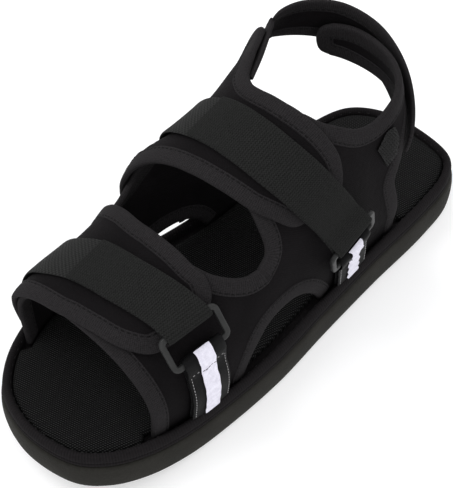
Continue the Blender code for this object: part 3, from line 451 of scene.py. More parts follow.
def upper_face(along, turn):
    """The last, which behind TAB_START follows the oval of the leg."""
    along, turn = np.broadcast_arrays(np.asarray(along, float), np.asarray(turn, float))
    start = last(np.maximum(along, TAB_START), turn)
    run = (TAB_START - along) * LENGTH
    centre = leg_centre()
    angle = np.interp(run, LEG_RUN, LEG_ANGLES)
    there = oval(angle, ANKLE_WIDTH, ANKLE_DEPTH, centre)
    turned = np.radians(angle)
    away = unit(np.stack([np.cos(turned) * ANKLE_DEPTH, np.sin(turned) * ANKLE_WIDTH / 2], axis=-1))
    beyond = (start[..., 0] - (centre[0] + ANKLE_WIDTH / 2)) * (1 - ease(run / ANKLE_WIDTH))
    behind = np.stack(
        [there[..., 0] + beyond * away[..., 0], there[..., 1] + beyond * away[..., 1], start[..., 2]], axis=-1
    )
    return np.where((run > 0)[..., None], behind, start)


def slopes(along, turn):
    step, degree = 0.001, 0.5
    by_along = (upper_face(along + step, turn) - upper_face(along - step, turn)) / (2 * step)
    by_turn = (upper_face(along, turn + degree) - upper_face(along, turn - degree)) / (2 * degree)
    return by_along, by_turn


def outward(along, turn):
    by_along, by_turn = slopes(along, turn)
    return unit(np.cross(by_turn, by_along))


# The measure of the upper laid flat: metres for the whole length, and for a degree of turn.
FLAT = np.array([LENGTH, INSTEP_HEIGHT / 110])
CREASE_FADE = 14


def creases(along, turn):
    """How far the creases push the cloth out, and none of them at the sole."""
    x, y = np.asarray(along) * FLAT[0], np.asarray(turn) * FLAT[1]
    total = np.zeros(np.broadcast(x, y).shape)
    for place, degrees, heading, reach, width, height in zip(*CREASES.values()):
        angle = math.radians(heading)
        dx, dy = x - place * FLAT[0], y - degrees * FLAT[1]
        run = dx * math.cos(angle) + dy * math.sin(angle)
        beside = dy * math.cos(angle) - dx * math.sin(angle)
        total = total + height * np.exp(-(run / reach) ** 2 - (beside / width) ** 2)
    return total * ease((90 - np.abs(np.asarray(turn) - 90)) / CREASE_FADE)


def over(along, turn, distance):
    """A point at a distance out from the upper's inner face, creases and all."""
    away = outward(along, turn)
    height = np.asarray(distance, float) + creases(along, turn)
    return upper_face(along, turn) + away * height[..., None]


def run_of(rows):
    """A table of along and turn as points, in order."""
    return np.column_stack([rows["along"], rows["turn"]]).astype(float)


def resample(points, spacing=EDGE_STEP, smoothed=True):
    """An open run of points, made smooth and evenly spaced on the upper."""
    points = np.asarray(points, float)
    if smoothed and len(points) > 2:
        knots = np.arange(len(points), dtype=float)
        points = smooth_rows(knots, points, np.linspace(0, knots[-1], 30 * len(points)))
    return even(run_length(upper_face(*points.T)), points, spacing)[0]


def inside(points, loops):
    """Which points lie within the first loop and outside the others."""
    found = np.zeros(len(points), bool)
    for loop in loops:
        x, y = loop[:, 0], loop[:, 1]
        ahead_x, ahead_y = np.roll(x, -1), np.roll(y, -1)
        crosses = (y[None] > points[:, 1:2]) != (ahead_y[None] > points[:, 1:2])
        rise = np.where(ahead_y == y, 1, ahead_y - y)
        at = (ahead_x - x)[None] * (points[:, 1:2] - y[None]) / rise[None] + x[None]
        found ^= (np.sum(crosses & (points[:, 0:1] < at), axis=1) % 2).astype(bool)
    return found


def nearest(points, others, most=2000):
    """How far each point lies from the nearest of the others, in slices that fit in memory."""
    slices = [points[first:first + most] for first in range(0, len(points), most)]
    squares = [((part[:, None] - others[None]) ** 2).sum(axis=2).min(axis=1) for part in slices]
    return np.sqrt(np.concatenate(squares))


def grid_points(loops, spacing):
    """Points of an even grid that lie inside the loops and clear of them."""
    low, high = loops[0].min(axis=0), loops[0].max(axis=0)
    points = grid(*(
        np.arange(math.floor(a / spacing), math.ceil(b / spacing) + 1) * spacing for a, b in zip(low, high)
    ))
    points = points[inside(points, loops)]
    return points[nearest(points, np.concatenate(loops)) > 0.6 * spacing]


def triangles(loops, inner):
    """Triangles over a flat outline, with its holes left open, and their corners."""
    corners, edges = [], []
    for loop in loops:
        first = len(corners)
        corners.extend(Vector(p) for p in loop)
        edges.extend((first + i, first + (i + 1) % len(loop)) for i in range(len(loop)))
    corners.extend(Vector(p) for p in inner)
    found = delaunay_2d_cdt(corners, edges, [], 0, 1e-7)
    where = np.array([tuple(v) for v in found[0]])
    faces = np.array(found[2])
    return where, faces[inside(where[faces].mean(axis=1), loops)]


def linked(name, data):
    """A new object in the scene."""
    thing = bpy.data.objects.new(name, data)
    bpy.context.scene.collection.objects.link(thing)
    return thing


def piece(name, node, corners, faces, looks, uv=None, look_of=None, angle=50):
    """A piece of the shoe that rides on its body and stands for its node."""
    mesh = bpy.data.meshes.new(name)
    corners = (np.asarray(corners).reshape(-1, 3) + SHIFT).tolist()
    mesh.from_pydata(corners, [], [tuple(map(int, f)) for f in faces])
    if uv is not None:
        layer = mesh.uv_layers.new(name="cloth")
        where = np.empty(len(mesh.loops), int)
        mesh.loops.foreach_get("vertex_index", where)
        layer.data.foreach_set("uv", np.asarray(uv, np.float32).reshape(-1, 2)[where].ravel())
    for look in looks:
        mesh.materials.append(look)
    if look_of is not None:
        mesh.polygons.foreach_set("material_index", np.asarray(look_of, int))
    work = bmesh.new()
    work.from_mesh(mesh)
    bmesh.ops.recalc_face_normals(work, faces=work.faces)
    work.to_mesh(mesh)
    work.free()
    mesh.shade_smooth()
    mesh.set_sharp_from_angle(angle=math.radians(angle))
    thing = linked(name, mesh)
    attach(thing, "root")
    if node:
        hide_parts(node)
    return thing


def tube_faces(rows, size, closed=False):
    """Faces between rows of a closed section, with flat ends unless the rows close."""
    faces = []
    for i in range(rows if closed else rows - 1):
        k = (i + 1) % rows
        for j in range(size):
            m = (j + 1) % size
            faces.append((i * size + j, i * size + m, k * size + m, k * size + j))
    if not closed:
        faces.append(tuple(range(size))[::-1])
        faces.append(tuple(range((rows - 1) * size, rows * size)))
    return faces


def shell(name, node, loops, low, high, look, spacing=FINE):
    """A wall between two distances from the last."""
    flat = [loop * FLAT for loop in loops]
    where, faces = triangles(flat, grid_points(flat, spacing))
    along, turn = (where / FLAT).T
    count = len(where)
    sides = {(int(a), int(b)) for face in faces for a, b in zip(face, np.roll(face, -1))}
    rim = sorted((a, b) for a, b in sides if (b, a) not in sides)
    solid = [tuple(f) for f in faces] + [tuple(f[::-1] + count) for f in faces]
    solid += [(b, a, a + count, b + count) for a, b in rim]
    corners = np.concatenate([over(along, turn, high), over(along, turn, low)])
    return piece(name, node, corners, solid, [look], np.concatenate([where, where]))


def stepped_in(points, closed, distance, moves=4):
    """Each point of an edge moved along the upper by a distance, to the left of the edge's run."""
    ahead = ahead_of(upper_face(*points.T), closed)
    result = points.copy()
    for _ in range(moves):
        by_along, by_turn = slopes(*result.T)
        left = unit(np.cross(unit(np.cross(by_turn, by_along)), ahead))
        left = left * (np.asarray(distance, float) / moves)[..., None]
        both = np.stack([by_along, by_turn], axis=2)
        square = np.einsum("nij,nik->njk", both, both)
        right = np.einsum("nij,ni->nj", both, left)
        result = result + np.linalg.solve(square, right[..., None])[..., 0]
    return result


def binding_width(points, closed):
    """How wide the binding can be at each point before it would cross itself."""
    there = upper_face(*points.T)
    found = np.full(len(points), 0.25 * BINDING_WIDTH)
    open_still = np.ones(len(points), bool)
    for width in np.linspace(0.3, 1.0, 15) * BINDING_WIDTH:
        moved = stepped_in(points, closed, width)
        open_still &= nearest(upper_face(*moved.T), there) > 0.88 * width
        found[open_still] = width
    least = np.min([np.roll(found, k) for k in (-2, -1, 0, 1, 2)], axis=0)
    if not closed:
        least[:2], least[-2:] = found[:2], found[-2:]
    return np.convolve(np.pad(least, 2, mode="wrap" if closed else "edge"), np.ones(5) / 5, mode="valid")


# The section of a binding: how far in from the edge, as a share of its width or
# past the edge in metres, and how far off the wall's outer or inner face. The fold's
# level is a share of the wall. The tuck lies within the wall, under its outer face.
BINDING_TOP = {
    "share": (1.0, 0.985, 0.95, 0.89, 0.84, 0.79, 0.72, 0.45, 0.20, 0.05),
    "height": (-0.0001, 0.00030, 0.00050, 0.00045, 0.00026, 0.00045, 0.00055, 0.00062, 0.00058, 0.00045),
}
BINDING_FOLD = {"past": (0.00035, 0.00055, 0.00055, 0.00035), "level": (0.92, 0.70, 0.30, 0.08)}
BINDING_REST = {
    "share": (0.05, 0.20, 0.45, 0.72, 0.84, 0.95, 1.0, 0.5, 0.10),
    "height": (-0.00028, -0.0004, -0.0004, -0.00036, -0.00016, -0.0003, 0.0002, 0.0004, 0.0004),
}
BINDING_TUCK = {"share": (0.10, 0.5), "depth": 0.0004}


def knitted(name, rows, run, closed=False):
    """A knitted tape swept through rows of points."""
    steps = [np.linalg.norm(b - a, axis=1).mean() for a, b in zip(rows, rows[1:])]
    faces = tube_faces(len(run), len(rows), closed)
    piece(name, None, np.stack(rows, axis=1), faces, [KNIT], grid(run, totals(steps)))


def binding(name, points, closed, low, high):
    """A knitted tape folded over a bound edge, which returns its two stitch lines."""
    room = binding_width(points, closed)
    section = [(share * room, high + height) for share, height in zip(*BINDING_TOP.values())]
    section += [(-past, low + level * (high - low)) for past, level in zip(*BINDING_FOLD.values())]
    section += [(share * room, low + height) for share, height in zip(*BINDING_REST.values())]
    section += [(share * room, high - BINDING_TUCK["depth"]) for share in BINDING_TUCK["share"]]
    rows = [over(*stepped_in(points, closed, distance).T, height) for distance, height in section]
    knitted(name, rows, run_length(upper_face(*points.T)), closed)
    line = stepped_in(points, closed, room - STITCH_BORDER * np.minimum(1, room / BINDING_WIDTH)).T
    away = outward(*line)
    return [(over(*line, high + OUTSIDE_RISE), away), (over(*line, low - INSIDE_RISE), -away)]


def capsules(lines, radius=STITCH_RADIUS, length=STITCH_LENGTH, pitch=STITCH_PITCH):
    """Stitches along lines, each a short rounded thread that follows its line."""
    ends = ((-0.5, 0.30), (-0.40, 0.85), (-0.15, 1.0), (0.15, 1.0), (0.40, 0.85), (0.5, 0.30))
    size = 6
    angle = np.arange(size) * 2 * math.pi / size
    corners, faces = [], []
    base = tube_faces(len(ends), size)
    for middle, away in lines:
        run = run_length(middle)
        count = int(run[-1] / pitch)
        for place in (np.arange(count) + 0.5) * run[-1] / max(count, 1):
            before, here, after = read_rows(run, middle, place + np.array([-0.5, 0, 0.5]) * length)
            up = unit(read_rows(run, away, place))
            ahead = unit(after - before)
            side = unit(np.cross(up, ahead))
            faces.extend([len(corners) + v for v in face] for face in base)
            for share, wide in ends:
                centre = here + ahead * share * length - up * radius * (1 - wide)
                for a in angle:
                    corners.append(centre + (side * math.cos(a) + up * math.sin(a)) * radius * wide)
    return np.array(corners), faces


def stitch_piece(name, lines, look, slot="upper_neoprene", **sizes):
    corners, faces = capsules(lines, **sizes)
    return piece(name, None, corners, faces, [look])


# Looks


class Look:
    """A material built from a few nodes that read the cloth's own measure in metres."""

    def __init__(self, name, colour, roughness, specular):
        self.material = bpy.data.materials.new(name)
        self.material.use_nodes = True
        self.tree = self.material.node_tree
        self.shader = self.tree.nodes["Principled BSDF"]
        self.set("Base Color", (*colour, 1.0))
        self.set("Roughness", roughness)
        self.set("Specular IOR Level", specular)
        self.material.diffuse_color = (*colour, 1.0)

    def set(self, name, value):
        self.shader.inputs[name].default_value = value

    def node(self, kind, inputs):
        """A node whose inputs are linked, or set where a value is a plain number."""
        made = self.tree.nodes.new(kind)
        for key, value in inputs.items():
            if hasattr(value, "is_output"):
                self.tree.links.new(value, made.inputs[key])
            else:
                made.inputs[key].default_value = value
        return made

    def maths(self, operation, a, b=0.0):
        made = self.node("ShaderNodeMath", {0: a, 1: b})
        made.operation = operation
        return made.outputs[0]

    def total(self, *parts):
        """The sum of values, each times its weight."""
        found = None
        for value, weight in parts:
            part = value if weight == 1 else self.maths("MULTIPLY", value, weight)
            found = part if found is None else self.maths("ADD", found, part)
        return found

    def measure(self):
        """How far along and across the cloth a point lies, in metres."""
        uv = self.tree.nodes.new("ShaderNodeUVMap")
        uv.uv_map = "cloth"
        return self.node("ShaderNodeSeparateXYZ", {0: uv.outputs[0]}).outputs[:2]

    def wave(self, value, period):
        return self.maths("SINE", self.maths("MULTIPLY", value, 2 * math.pi / period))

    def cells(self, u, v, size_u, size_v):
        return self.maths("MULTIPLY", self.wave(u, size_u), self.wave(v, size_v))

    def noise(self, size, detail, rough=0.55):
        place = self.tree.nodes.new("ShaderNodeTexCoord").outputs["Object"]
        inputs = {"Vector": place, "Scale": 1 / size, "Detail": detail, "Roughness": rough}
        return self.node("ShaderNodeTexNoise", inputs).outputs[0]

    def spread(self, value, low, high, to_low=0, to_high=1):
        inputs = {0: value, 1: low, 2: high, 3: to_low, 4: to_high}
        return self.node("ShaderNodeMapRange", inputs).outputs[0]

    def colours(self, value, low, high, dark, light):
        """Runs from the dark colour to the light one as the value goes from low to high."""
        made = self.tree.nodes.new("ShaderNodeMix")
        made.data_type = "RGBA"
        self.tree.links.new(self.spread(value, low, high), made.inputs[0])
        made.inputs[6].default_value = (*dark, 1.0)
        made.inputs[7].default_value = (*light, 1.0)
        self.tree.links.new(made.outputs[2], self.shader.inputs["Base Color"])

    def rough(self, share, low, high):
        self.tree.links.new(self.spread(share, 0, 1, low, high), self.shader.inputs["Roughness"])

    def bump(self, height, depth, normal=None):
        made = self.node("ShaderNodeBump", {"Height": height, "Distance": depth, "Strength": 1.0})
        if normal is not None:
            self.tree.links.new(normal, made.inputs["Normal"])
        self.tree.links.new(made.outputs[0], self.shader.inputs["Normal"])
        return made.outputs[0]

    def relief(self, height, low, high, dark, light, depth):
        """A cloth whose relief also sets its colour."""
        self.colours(height, low, high, dark, light)
        self.bump(height, depth)
        return self.material


def neoprene_look():
    """Smooth jersey over foam: a very fine knit, soft mottling and a little lint."""
    look = Look("neoprene", (0.0052, 0.0046, 0.0051), 0.80, 0.05)
    knit = look.cells(*look.measure(), 0.0010, 0.0008)
    cloud, grain = look.noise(0.030, 4), look.noise(0.0009, 2)
    share = look.total((cloud, 0.7), (grain, 0.35))
    look.colours(share, 0.35, 0.75, (0.0038, 0.0033, 0.0037), (0.0078, 0.0068, 0.0076))
    look.rough(cloud, 0.70, 0.86)
    soft = look.bump(look.noise(0.006, 2), 0.00035)
    look.bump(look.maths("ADD", knit, grain), 0.00006, soft)
    return look.material


def knit_look():
    """The binding: a ribbed knitted tape, a shade lighter than the neoprene."""
    look = Look("binding_knit", (0.017, 0.0155, 0.0168), 0.88, 0.07)
    u, v = look.measure()
    rib, cross = look.wave(u, 0.00095), look.wave(v, 0.00080)
    height = look.total((rib, 0.14), (cross, 0.12), (look.noise(0.0008, 3, 0.7), 1.3))
    return look.relief(height, 0.25, 1.05, (0.0070, 0.0064, 0.0069), (0.0250, 0.0232, 0.0246), 0.00016)


def webbing_look():
    """The strap's pile face: fine grey green loops in rows."""
    look = Look("strap_pile", (0.016, 0.0168, 0.016), 0.9, 0.07)
    u, v = look.measure()
    loops, rows = look.cells(u, v, 0.00120, 0.00120), look.wave(u, 0.00105)
    height = look.total((loops, 0.22), (rows, 0.14), (look.noise(0.0006, 3, 0.7), 1.6))
    return look.relief(height, 0.35, 1.35, (0.0040, 0.0041, 0.0040), (0.0225, 0.0230, 0.0224), 0.00018)


def coarse_look():
    """The strap's lower layer: a coarser woven face."""
    look = Look("strap_weave", (0.015, 0.0155, 0.015), 0.88, 0.14)
    woven = look.cells(*look.measure(), 0.0021, 0.0021)
    height = look.total((woven, 0.7), (look.noise(0.0006, 2), 1))
    return look.relief(height, -0.2, 1.3, (0.0048, 0.0049, 0.0048), (0.0235, 0.0240, 0.0235), 0.00022)


def footbed_look():
    """Black spacer mesh: diagonal cells whose threads catch the light."""
    look = Look("footbed_mesh", (0.0055, 0.0055, 0.0055), 0.80, 0.07)
    u, v = look.measure()
    cells = look.cells(look.maths("ADD", u, v), look.maths("SUBTRACT", u, v), 0.0030, 0.0018)
    height = look.total((cells, 1), (look.noise(0.0008, 2), 0.6))
    return look.relief(height, 0.45, 1.15, (0.0026, 0.0026, 0.0027), (0.0360, 0.0360, 0.0366), 0.00030)


def rim_look():
    look = Look("rim_fabric", (0.0095, 0.0085, 0.0092), 0.84, 0.06)
    ribs = look.wave(look.measure()[0], 0.0014)
    height = look.total((ribs, 0.2), (look.noise(0.0009, 3), 1))
    return look.relief(height, 0.2, 0.9, (0.0060, 0.0053, 0.0058), (0.0142, 0.0126, 0.0136), 0.00012)


def rubber_look():
    """Foamed rubber with a fine pebbled skin."""
    look = Look("sole_rubber", (0.018, 0.0172, 0.0150), 0.74, 0.09)
    fine, cloud = look.noise(0.0011, 4, 0.7), look.noise(0.020, 4)
    share = look.total((fine, 0.6), (cloud, 0.5))
    look.colours(share, 0.35, 0.75, (0.0110, 0.0105, 0.0090), (0.0255, 0.0245, 0.0213))
    look.rough(fine, 0.62, 0.86)
    look.bump(fine, 0.00030)
    return look.material


def plastic_look():
    look = Look("ring_plastic", (0.022, 0.0235, 0.024), 0.45, 0.22)
    cloud = look.noise(0.006, 3)
    look.colours(cloud, 0.3, 0.7, (0.0160, 0.0163, 0.0163), (0.0240, 0.0244, 0.0244))
    look.rough(cloud, 0.34, 0.55)
    look.bump(look.noise(0.0005, 2), 0.00003)
    return look.material


def satin_look():
    look = Look("tape_satin", (0.0040, 0.0040, 0.0044), 0.46, 0.08)
    u, v = look.measure()
    twill = look.wave(look.total((u, 1), (v, 2.0)), 0.0009)
    cloud = look.noise(0.004, 3)
    look.colours(cloud, 0.3, 0.7, (0.0026, 0.0026, 0.0029), (0.0068, 0.0068, 0.0074))
    look.rough(cloud, 0.34, 0.56)
    look.bump(look.maths("ADD", twill, cloud), 0.00008)
    return look.material


def stripe_look():
    """Silver white tape of fine glass beads, faintly lavender."""
    look = Look("stripe_silver", (0.72, 0.70, 0.80), 0.45, 0.4)
    beads = look.noise(0.0005, 2)
    look.rough(beads, 0.38, 0.60)
    share = look.total((beads, 0.4), (look.noise(0.003, 3), 0.6))
    return look.relief(share, 0.35, 0.65, (0.60, 0.585, 0.68), (0.80, 0.785, 0.88), 0.00012)


def hook_look():
    look = Look("patch_hook", (0.007, 0.007, 0.007), 0.60, 0.12)
    cells = look.cells(*look.measure(), 0.0013, 0.0013)
    return look.relief(cells, -0.4, 1, (0.0030, 0.0030, 0.0030), (0.0130, 0.0130, 0.0131), 0.00020)


def thread_look(name, colour):
    look = Look(name, colour, 0.7, 0.15)
    dark, light = (tuple(share * c for c in colour) for share in (0.7, 1.25))
    return look.relief(look.noise(0.0004, 2), 0.3, 0.7, dark, light, 0.00005)


def floor_look():
    look = Look("floor", (0.86, 0.86, 0.87), 0.9, 0.1)
    look.colours(look.noise(0.25, 3), 0.3, 0.7, (0.60, 0.60, 0.61), (0.62, 0.62, 0.625))
    look.set("Emission Color", (1.0, 1.0, 1.0, 1.0))
    look.set("Emission Strength", 0.45)
    return look.material


NEOPRENE = neoprene_look()
KNIT = knit_look()
PILE = webbing_look()
WEAVE = coarse_look()
MESH = footbed_look()
RIM = rim_look()
RUBBER = rubber_look()
PLASTIC = plastic_look()
SATIN = satin_look()
SILVER = stripe_look()
HOOK = hook_look()
# Painted shade: the stitch thread is made near black to stand for the shadow along each stitch, not for a
# black thread.
SHADED_THREAD = thread_look("thread_painted_shade", (0.0020, 0.0018, 0.0020))
PALE_THREAD = thread_look("thread_grey", (0.34, 0.335, 0.34))
SEAM_THREAD = thread_look("thread_dim", (0.022, 0.021, 0.022))


# The sole


def sole_piece(name, node, wall_rows, base, scale_in, scale_up, turn, look, dish=0.0, shift=None):
    """A piece of the sole: its wall climbs the rows, and its faces follow the toe's turn."""

    def level(flat, share):
        along = share_along(flat[:, 1])
        taken = turn[0] + share * (turn[1] - turn[0])
        return base[1] + share * scale_up + spring(along) + taken * lift(along)

    loops = []
    for inset, share in zip(wall_rows["inset"], wall_rows["height"]):
        flat = outline(base[0] + inset * scale_in, SOLE_POINTS)
        if shift is not None:
            flat = shift(flat)
        loops.append(np.column_stack([flat, level(flat, share)]))
    corners = [np.concatenate(loops)]
    size = len(loops[0])
    faces = tube_faces(len(loops), size)[:-2]
    climb = run_length(np.array([loop[0] for loop in loops]))
    uv = [grid(climb, run_length(loops[0][:, :2]))[:, ::-1]]
    first = len(corners[0])
    for index, down in ((0, 0.0), (len(loops) - 1, dish)):
        flat = loops[index][:, :2]
        where, found = triangles([flat], grid_points([flat], 2 * FINE))
        inner = where[size:]
        sunk = down * ease(nearest(inner, flat) / (BALL_WIDTH / 4))
        corners.append(np.column_stack([inner, level(inner, wall_rows["height"][index]) - sunk]))
        uv.append(inner)
        for face in found:
            turned = [index * size + int(v) if v < size else first + int(v) - size for v in face]
            faces.append(turned if index else turned[::-1])
        first += len(inner)
    corners = np.concatenate(corners)
    return piece(name, node, corners, faces, [look], corners[:, :2] if dish else np.concatenate(uv))


def tread(outsole):
    """Angled grooves across the underside, cut short of its edge."""
    work = bmesh.new()
    border = outline(TREAD_MARGIN, 200)
    count = int(LENGTH / TREAD_PITCH)
    for i in range(2, count - 1):
        y = LENGTH / 2 - i * TREAD_PITCH
        row = border[np.abs(border[:, 1] - y) < TREAD_PITCH / 2]
        if len(row) < 2 or share_along(y) > TREAD_END:
            continue
        left, right = row[:, 0].min(), row[:, 0].max()
        points = [(left, y), ((left + right) / 2, y - TREAD_CHEVRON), (right, y)]
        half = TREAD_GROOVE / 2
        levels = (-TREAD_DEPTH, TREAD_DEPTH + float(spring(share_along(y))))
        low, high = (
            [
                work.verts.new(Vector((x, v + side * half, level)) + Vector(SHIFT))
                for side in (-1, 1) for x, v in points
            ]
            for level in levels
        )
        for a in (0, 1):
            work.faces.new((low[a], low[a + 1], low[a + 4], low[a + 3]))
            work.faces.new((high[a], high[a + 3], high[a + 4], high[a + 1]))
            work.faces.new((low[a], high[a], high[a + 1], low[a + 1]))
            work.faces.new((low[a + 3], low[a + 4], high[a + 4], high[a + 3]))
        work.faces.new((low[0], low[3], high[3], high[0]))
        work.faces.new((low[2], high[2], high[5], low[5]))
    bmesh.ops.recalc_face_normals(work, faces=work.faces)
    mesh = bpy.data.meshes.new("tread_cutter")
    work.to_mesh(mesh)
    work.free()
    cutter = linked("tread_cutter", mesh)
    cut = outsole.modifiers.new("tread", "BOOLEAN")
    cut.operation = "DIFFERENCE"
    cut.solver = "EXACT"
    cut.object = cutter
    graph = bpy.context.evaluated_depsgraph_get()
    done = bpy.data.meshes.new_from_object(outsole.evaluated_get(graph))
    outsole.modifiers.clear()
    outsole.data = done
    bpy.data.objects.remove(cutter)


def insole_shift(flat, behind=0.016, ahead=0.014, fade=0.012):
    """Draws the insole in from a little behind the upper's wall to a little ahead of it."""
    along = share_along(flat[:, 1])
    outer = flat[:, 0] > 0
    back = np.where(outer, QUARTER_BACK["along"][-1], INNER_BACK["along"][0]) - behind
    front = np.where(outer, TOE_EDGE["along"][0], TOE_EDGE["along"][-1]) + ahead
    beside = ease((along - back + fade) / fade) * ease((front + fade - along) / fade)
    return flat - left_of(flat, True) * (beside * (WALL + BINDING_STEP + 5 * GAP))[:, None]


def sole():
    outsole = sole_piece(
        "outsole_rubber", "outsole", OUTSOLE_WALL, (0.0, 0.0), OUTSOLE_EDGE, OUTSOLE_HEIGHT,
        OUTSOLE_TURN, RUBBER,
    )
    tread(outsole)
    rim_level = OUTSOLE_HEIGHT + GAP
    sole_piece(
        "midsole_wrap", "midsole", RIM_WALL, (RIM_STEP, rim_level), RIM_WIDTH, RIM_HEIGHT,
        RIM_TURN, RIM,
    )
    sole_piece(
        "insole_footbed", "insole", INSOLE_WALL, (RIM_STEP + RIM_WIDTH + GAP, rim_level + TRAY_FLOOR + GAP),
        INSOLE_EDGE, INSOLE_HEIGHT, INSOLE_TURN, MESH, INSOLE_DISH, insole_shift,
    )
    flat = outline(RIM_STEP + 0.93 * RIM_WIDTH, SOLE_POINTS)
    flat = np.concatenate([flat, flat[:1]])
    along = share_along(flat[:, 1])
    level = rim_level + 0.80 * RIM_HEIGHT + spring(along) + 0.94 * lift(along)
    away = unit(np.column_stack([-left_of(flat), np.full(len(flat), 0.8)]))
    lines = [(np.column_stack([flat, level]), away)]
    stitch_piece("rim_stitches", lines, SEAM_THREAD, "rim_fabric", **SMALL_STITCH, pitch=RIM_STITCH_PITCH)


# The upper


def joined(*runs):
    """A closed loop from open runs, each corner kept once."""
    return np.concatenate([run[:-1] for run in runs])


def line_between(start, stop):
    return resample([start, stop], FINE)


def round_by(start, stop, turn):
    """From one edge to the next, down to a turn below the rim and up again."""
    low_start, low_stop = (start[0], turn), (stop[0], turn)
    return [line_between(start, low_start), line_between(low_start, low_stop), line_between(low_stop, stop)]


def upper():
    foot = -math.degrees(SEAM_DEPTH / (INSTEP_HEIGHT / 2))
    across = 180 - foot
    toe, inner_back, collar, tip, back, arch_outer, arch_inner = (
        resample(run_of(rows))
        for rows in (TOE_EDGE, INNER_BACK, COLLAR, TAB_TIP, QUARTER_BACK, ARCH_OUTER, ARCH_INNER)
    )
    throat = line_between(run_of(INNER_BACK)[-1], run_of(COLLAR)[0])
    window = resample(np.concatenate([run_of(WINDOW), run_of(WINDOW)[:1]]))[:-1]
    border = joined(
        *round_by(back[-1], arch_outer[0], foot), arch_outer,
        *round_by(arch_outer[-1], toe[0], foot), toe,
        *round_by(toe[-1], arch_inner[0], across), arch_inner,
        *round_by(arch_inner[-1], inner_back[0], across), inner_back,
        throat, collar, tip, back,
    )
    shell("upper_shell", "upper", [border, window], 0.0, WALL, NEOPRENE)
    top = np.concatenate([inner_back, throat[1:], collar[1:], tip[1:], back[1:]])
    edges = {"toe": toe, "arch_outer": arch_outer, "arch_inner": arch_inner, "collar": top}
    lines = []
    for name, way in edges.items():
        lines += binding("binding_" + name, way[::-1], False, 0.0, WALL)
    lines += binding("binding_window", window, True, 0.0, WALL)
    stitch_piece("upper_stitches", lines, SHADED_THREAD)


def flap(end, rows):
    points = run_of(rows)
    for index in (0, -1):
        points[index, 1] = 180 - turn_over_rim(points[index, 0])
    way = resample(points)
    foot = line_between(way[-1], way[0])
    shell(end + "_flap_shell", end + "_flap", [joined(way, foot)], FLAP_LOW, FLAP_HIGH, NEOPRENE)
    lines = binding(f"binding_{end}_flap", way, False, FLAP_LOW, FLAP_HIGH)
    stitch_piece(end + "_flap_stitches", lines, SHADED_THREAD)


# The straps

# How far a ring's two cross bars lie from its middle.
BAR_REACH = (RING_LENGTH - RING_BAR) / 2

# How far off the upper's inner face each layer lies.
FLAP_LOW = WALL + BINDING_STEP + LAYER_GAP
FLAP_HIGH = FLAP_LOW + FLAP_WALL
STRAP_LOW = FLAP_HIGH + BINDING_STEP + LAYER_GAP
TAPE_LOW = WALL + BINDING_STEP + LAYER_GAP
FOLD = RING_THICKNESS / 2 + GAP + WEBBING / 2
RING_HIGH = STRAP_LOW + WEBBING / 2 + FOLD
RING_LOW = TAPE_LOW + WEBBING / 2 + FOLD

# How far beyond its bar a tape's fold ends and has settled, the length of a ripple in
# a selvedge, and how square the ring's bars are.
FOLD_CLEAR = 0.0035
TAPE_SETTLE = 0.008
RIPPLE_LENGTH = 0.0062
RING_SQUARE = 2 / 3.2


class Strap:
    """The way of a strap over the upper, measured from the middle of its ring."""

    def __init__(self, rows, ring_turn):
        self.rows = rows
        self.turns = np.linspace(180, 0, 600)
        run = run_length(upper_face(table(rows, "along", self.turns, "turn"), self.turns))
        self.run = run - np.interp(-ring_turn, -self.turns, run)
        self.start = self.run_at(180 - turn_over_rim(rows["along"][0]))
        self.foot = self.run_at(turn_over_rim(rows["along"][-1]))
        self.high_bar = self.on_upper(-BAR_REACH, RING_HIGH + RING_RAISE, 0.0)
        self.low_bar = self.on_upper(BAR_REACH, RING_LOW + RING_RAISE, 0.0)
        self.down = unit(self.low_bar - self.high_bar)
        left, right = (self.on_upper(0.0, RING_HIGH, side * STRAP_WIDTH / 4) for side in (1, -1))
        self.aside = unit(left - right - self.down * ((left - right) @ self.down))

    def run_at(self, turn):
        return float(np.interp(-turn, -self.turns, self.run))

    def spot(self, run):
        """The place on the upper under a place of the strap."""
        turn = np.interp(run, self.run, self.turns)
        return table(self.rows, "along", turn, "turn"), turn

    def on_upper(self, run, distance, beside):
        along, turn = self.spot(run)
        by_along, _ = slopes(along, turn)
        along = along + beside / np.linalg.norm(by_along, axis=-1)
        away = outward(along, turn)
        return upper_face(along, turn) + away * np.asarray(distance, float)[..., None]

    def place(self, run, distance, beside):
        """Follows the upper, and runs straight across where the ring is near."""
        curved = self.on_upper(run, distance, beside)
        straight = self.on_upper(run, distance + RING_RAISE, 0.0)
        straight = straight + self.aside * np.asarray(beside, float)[..., None]
        reach = BAR_REACH + RING_BAR
        share = 1 - ease((np.abs(run) - reach) / reach)
        return curved + (straight - curved) * share[..., None]


def fold_round(centre, radius, start, stop, steps):
    angle = np.radians(np.linspace(start, stop, steps))
    return np.stack([centre[0] + radius * np.cos(angle), centre[1] + radius * np.sin(angle)], axis=1)


def heights(run, height):
    """The points of a path: places along the upper, each with its height."""
    return np.column_stack([run, np.broadcast_to(height, run.shape)])


def settling(run, bar, fold_top, lie, reach):
    """The height of a run back from its fold round a bar, coming down to where it lies."""
    share = ease(np.abs(run - bar) / reach)
    return fold_top * (1 - share) + lie * share


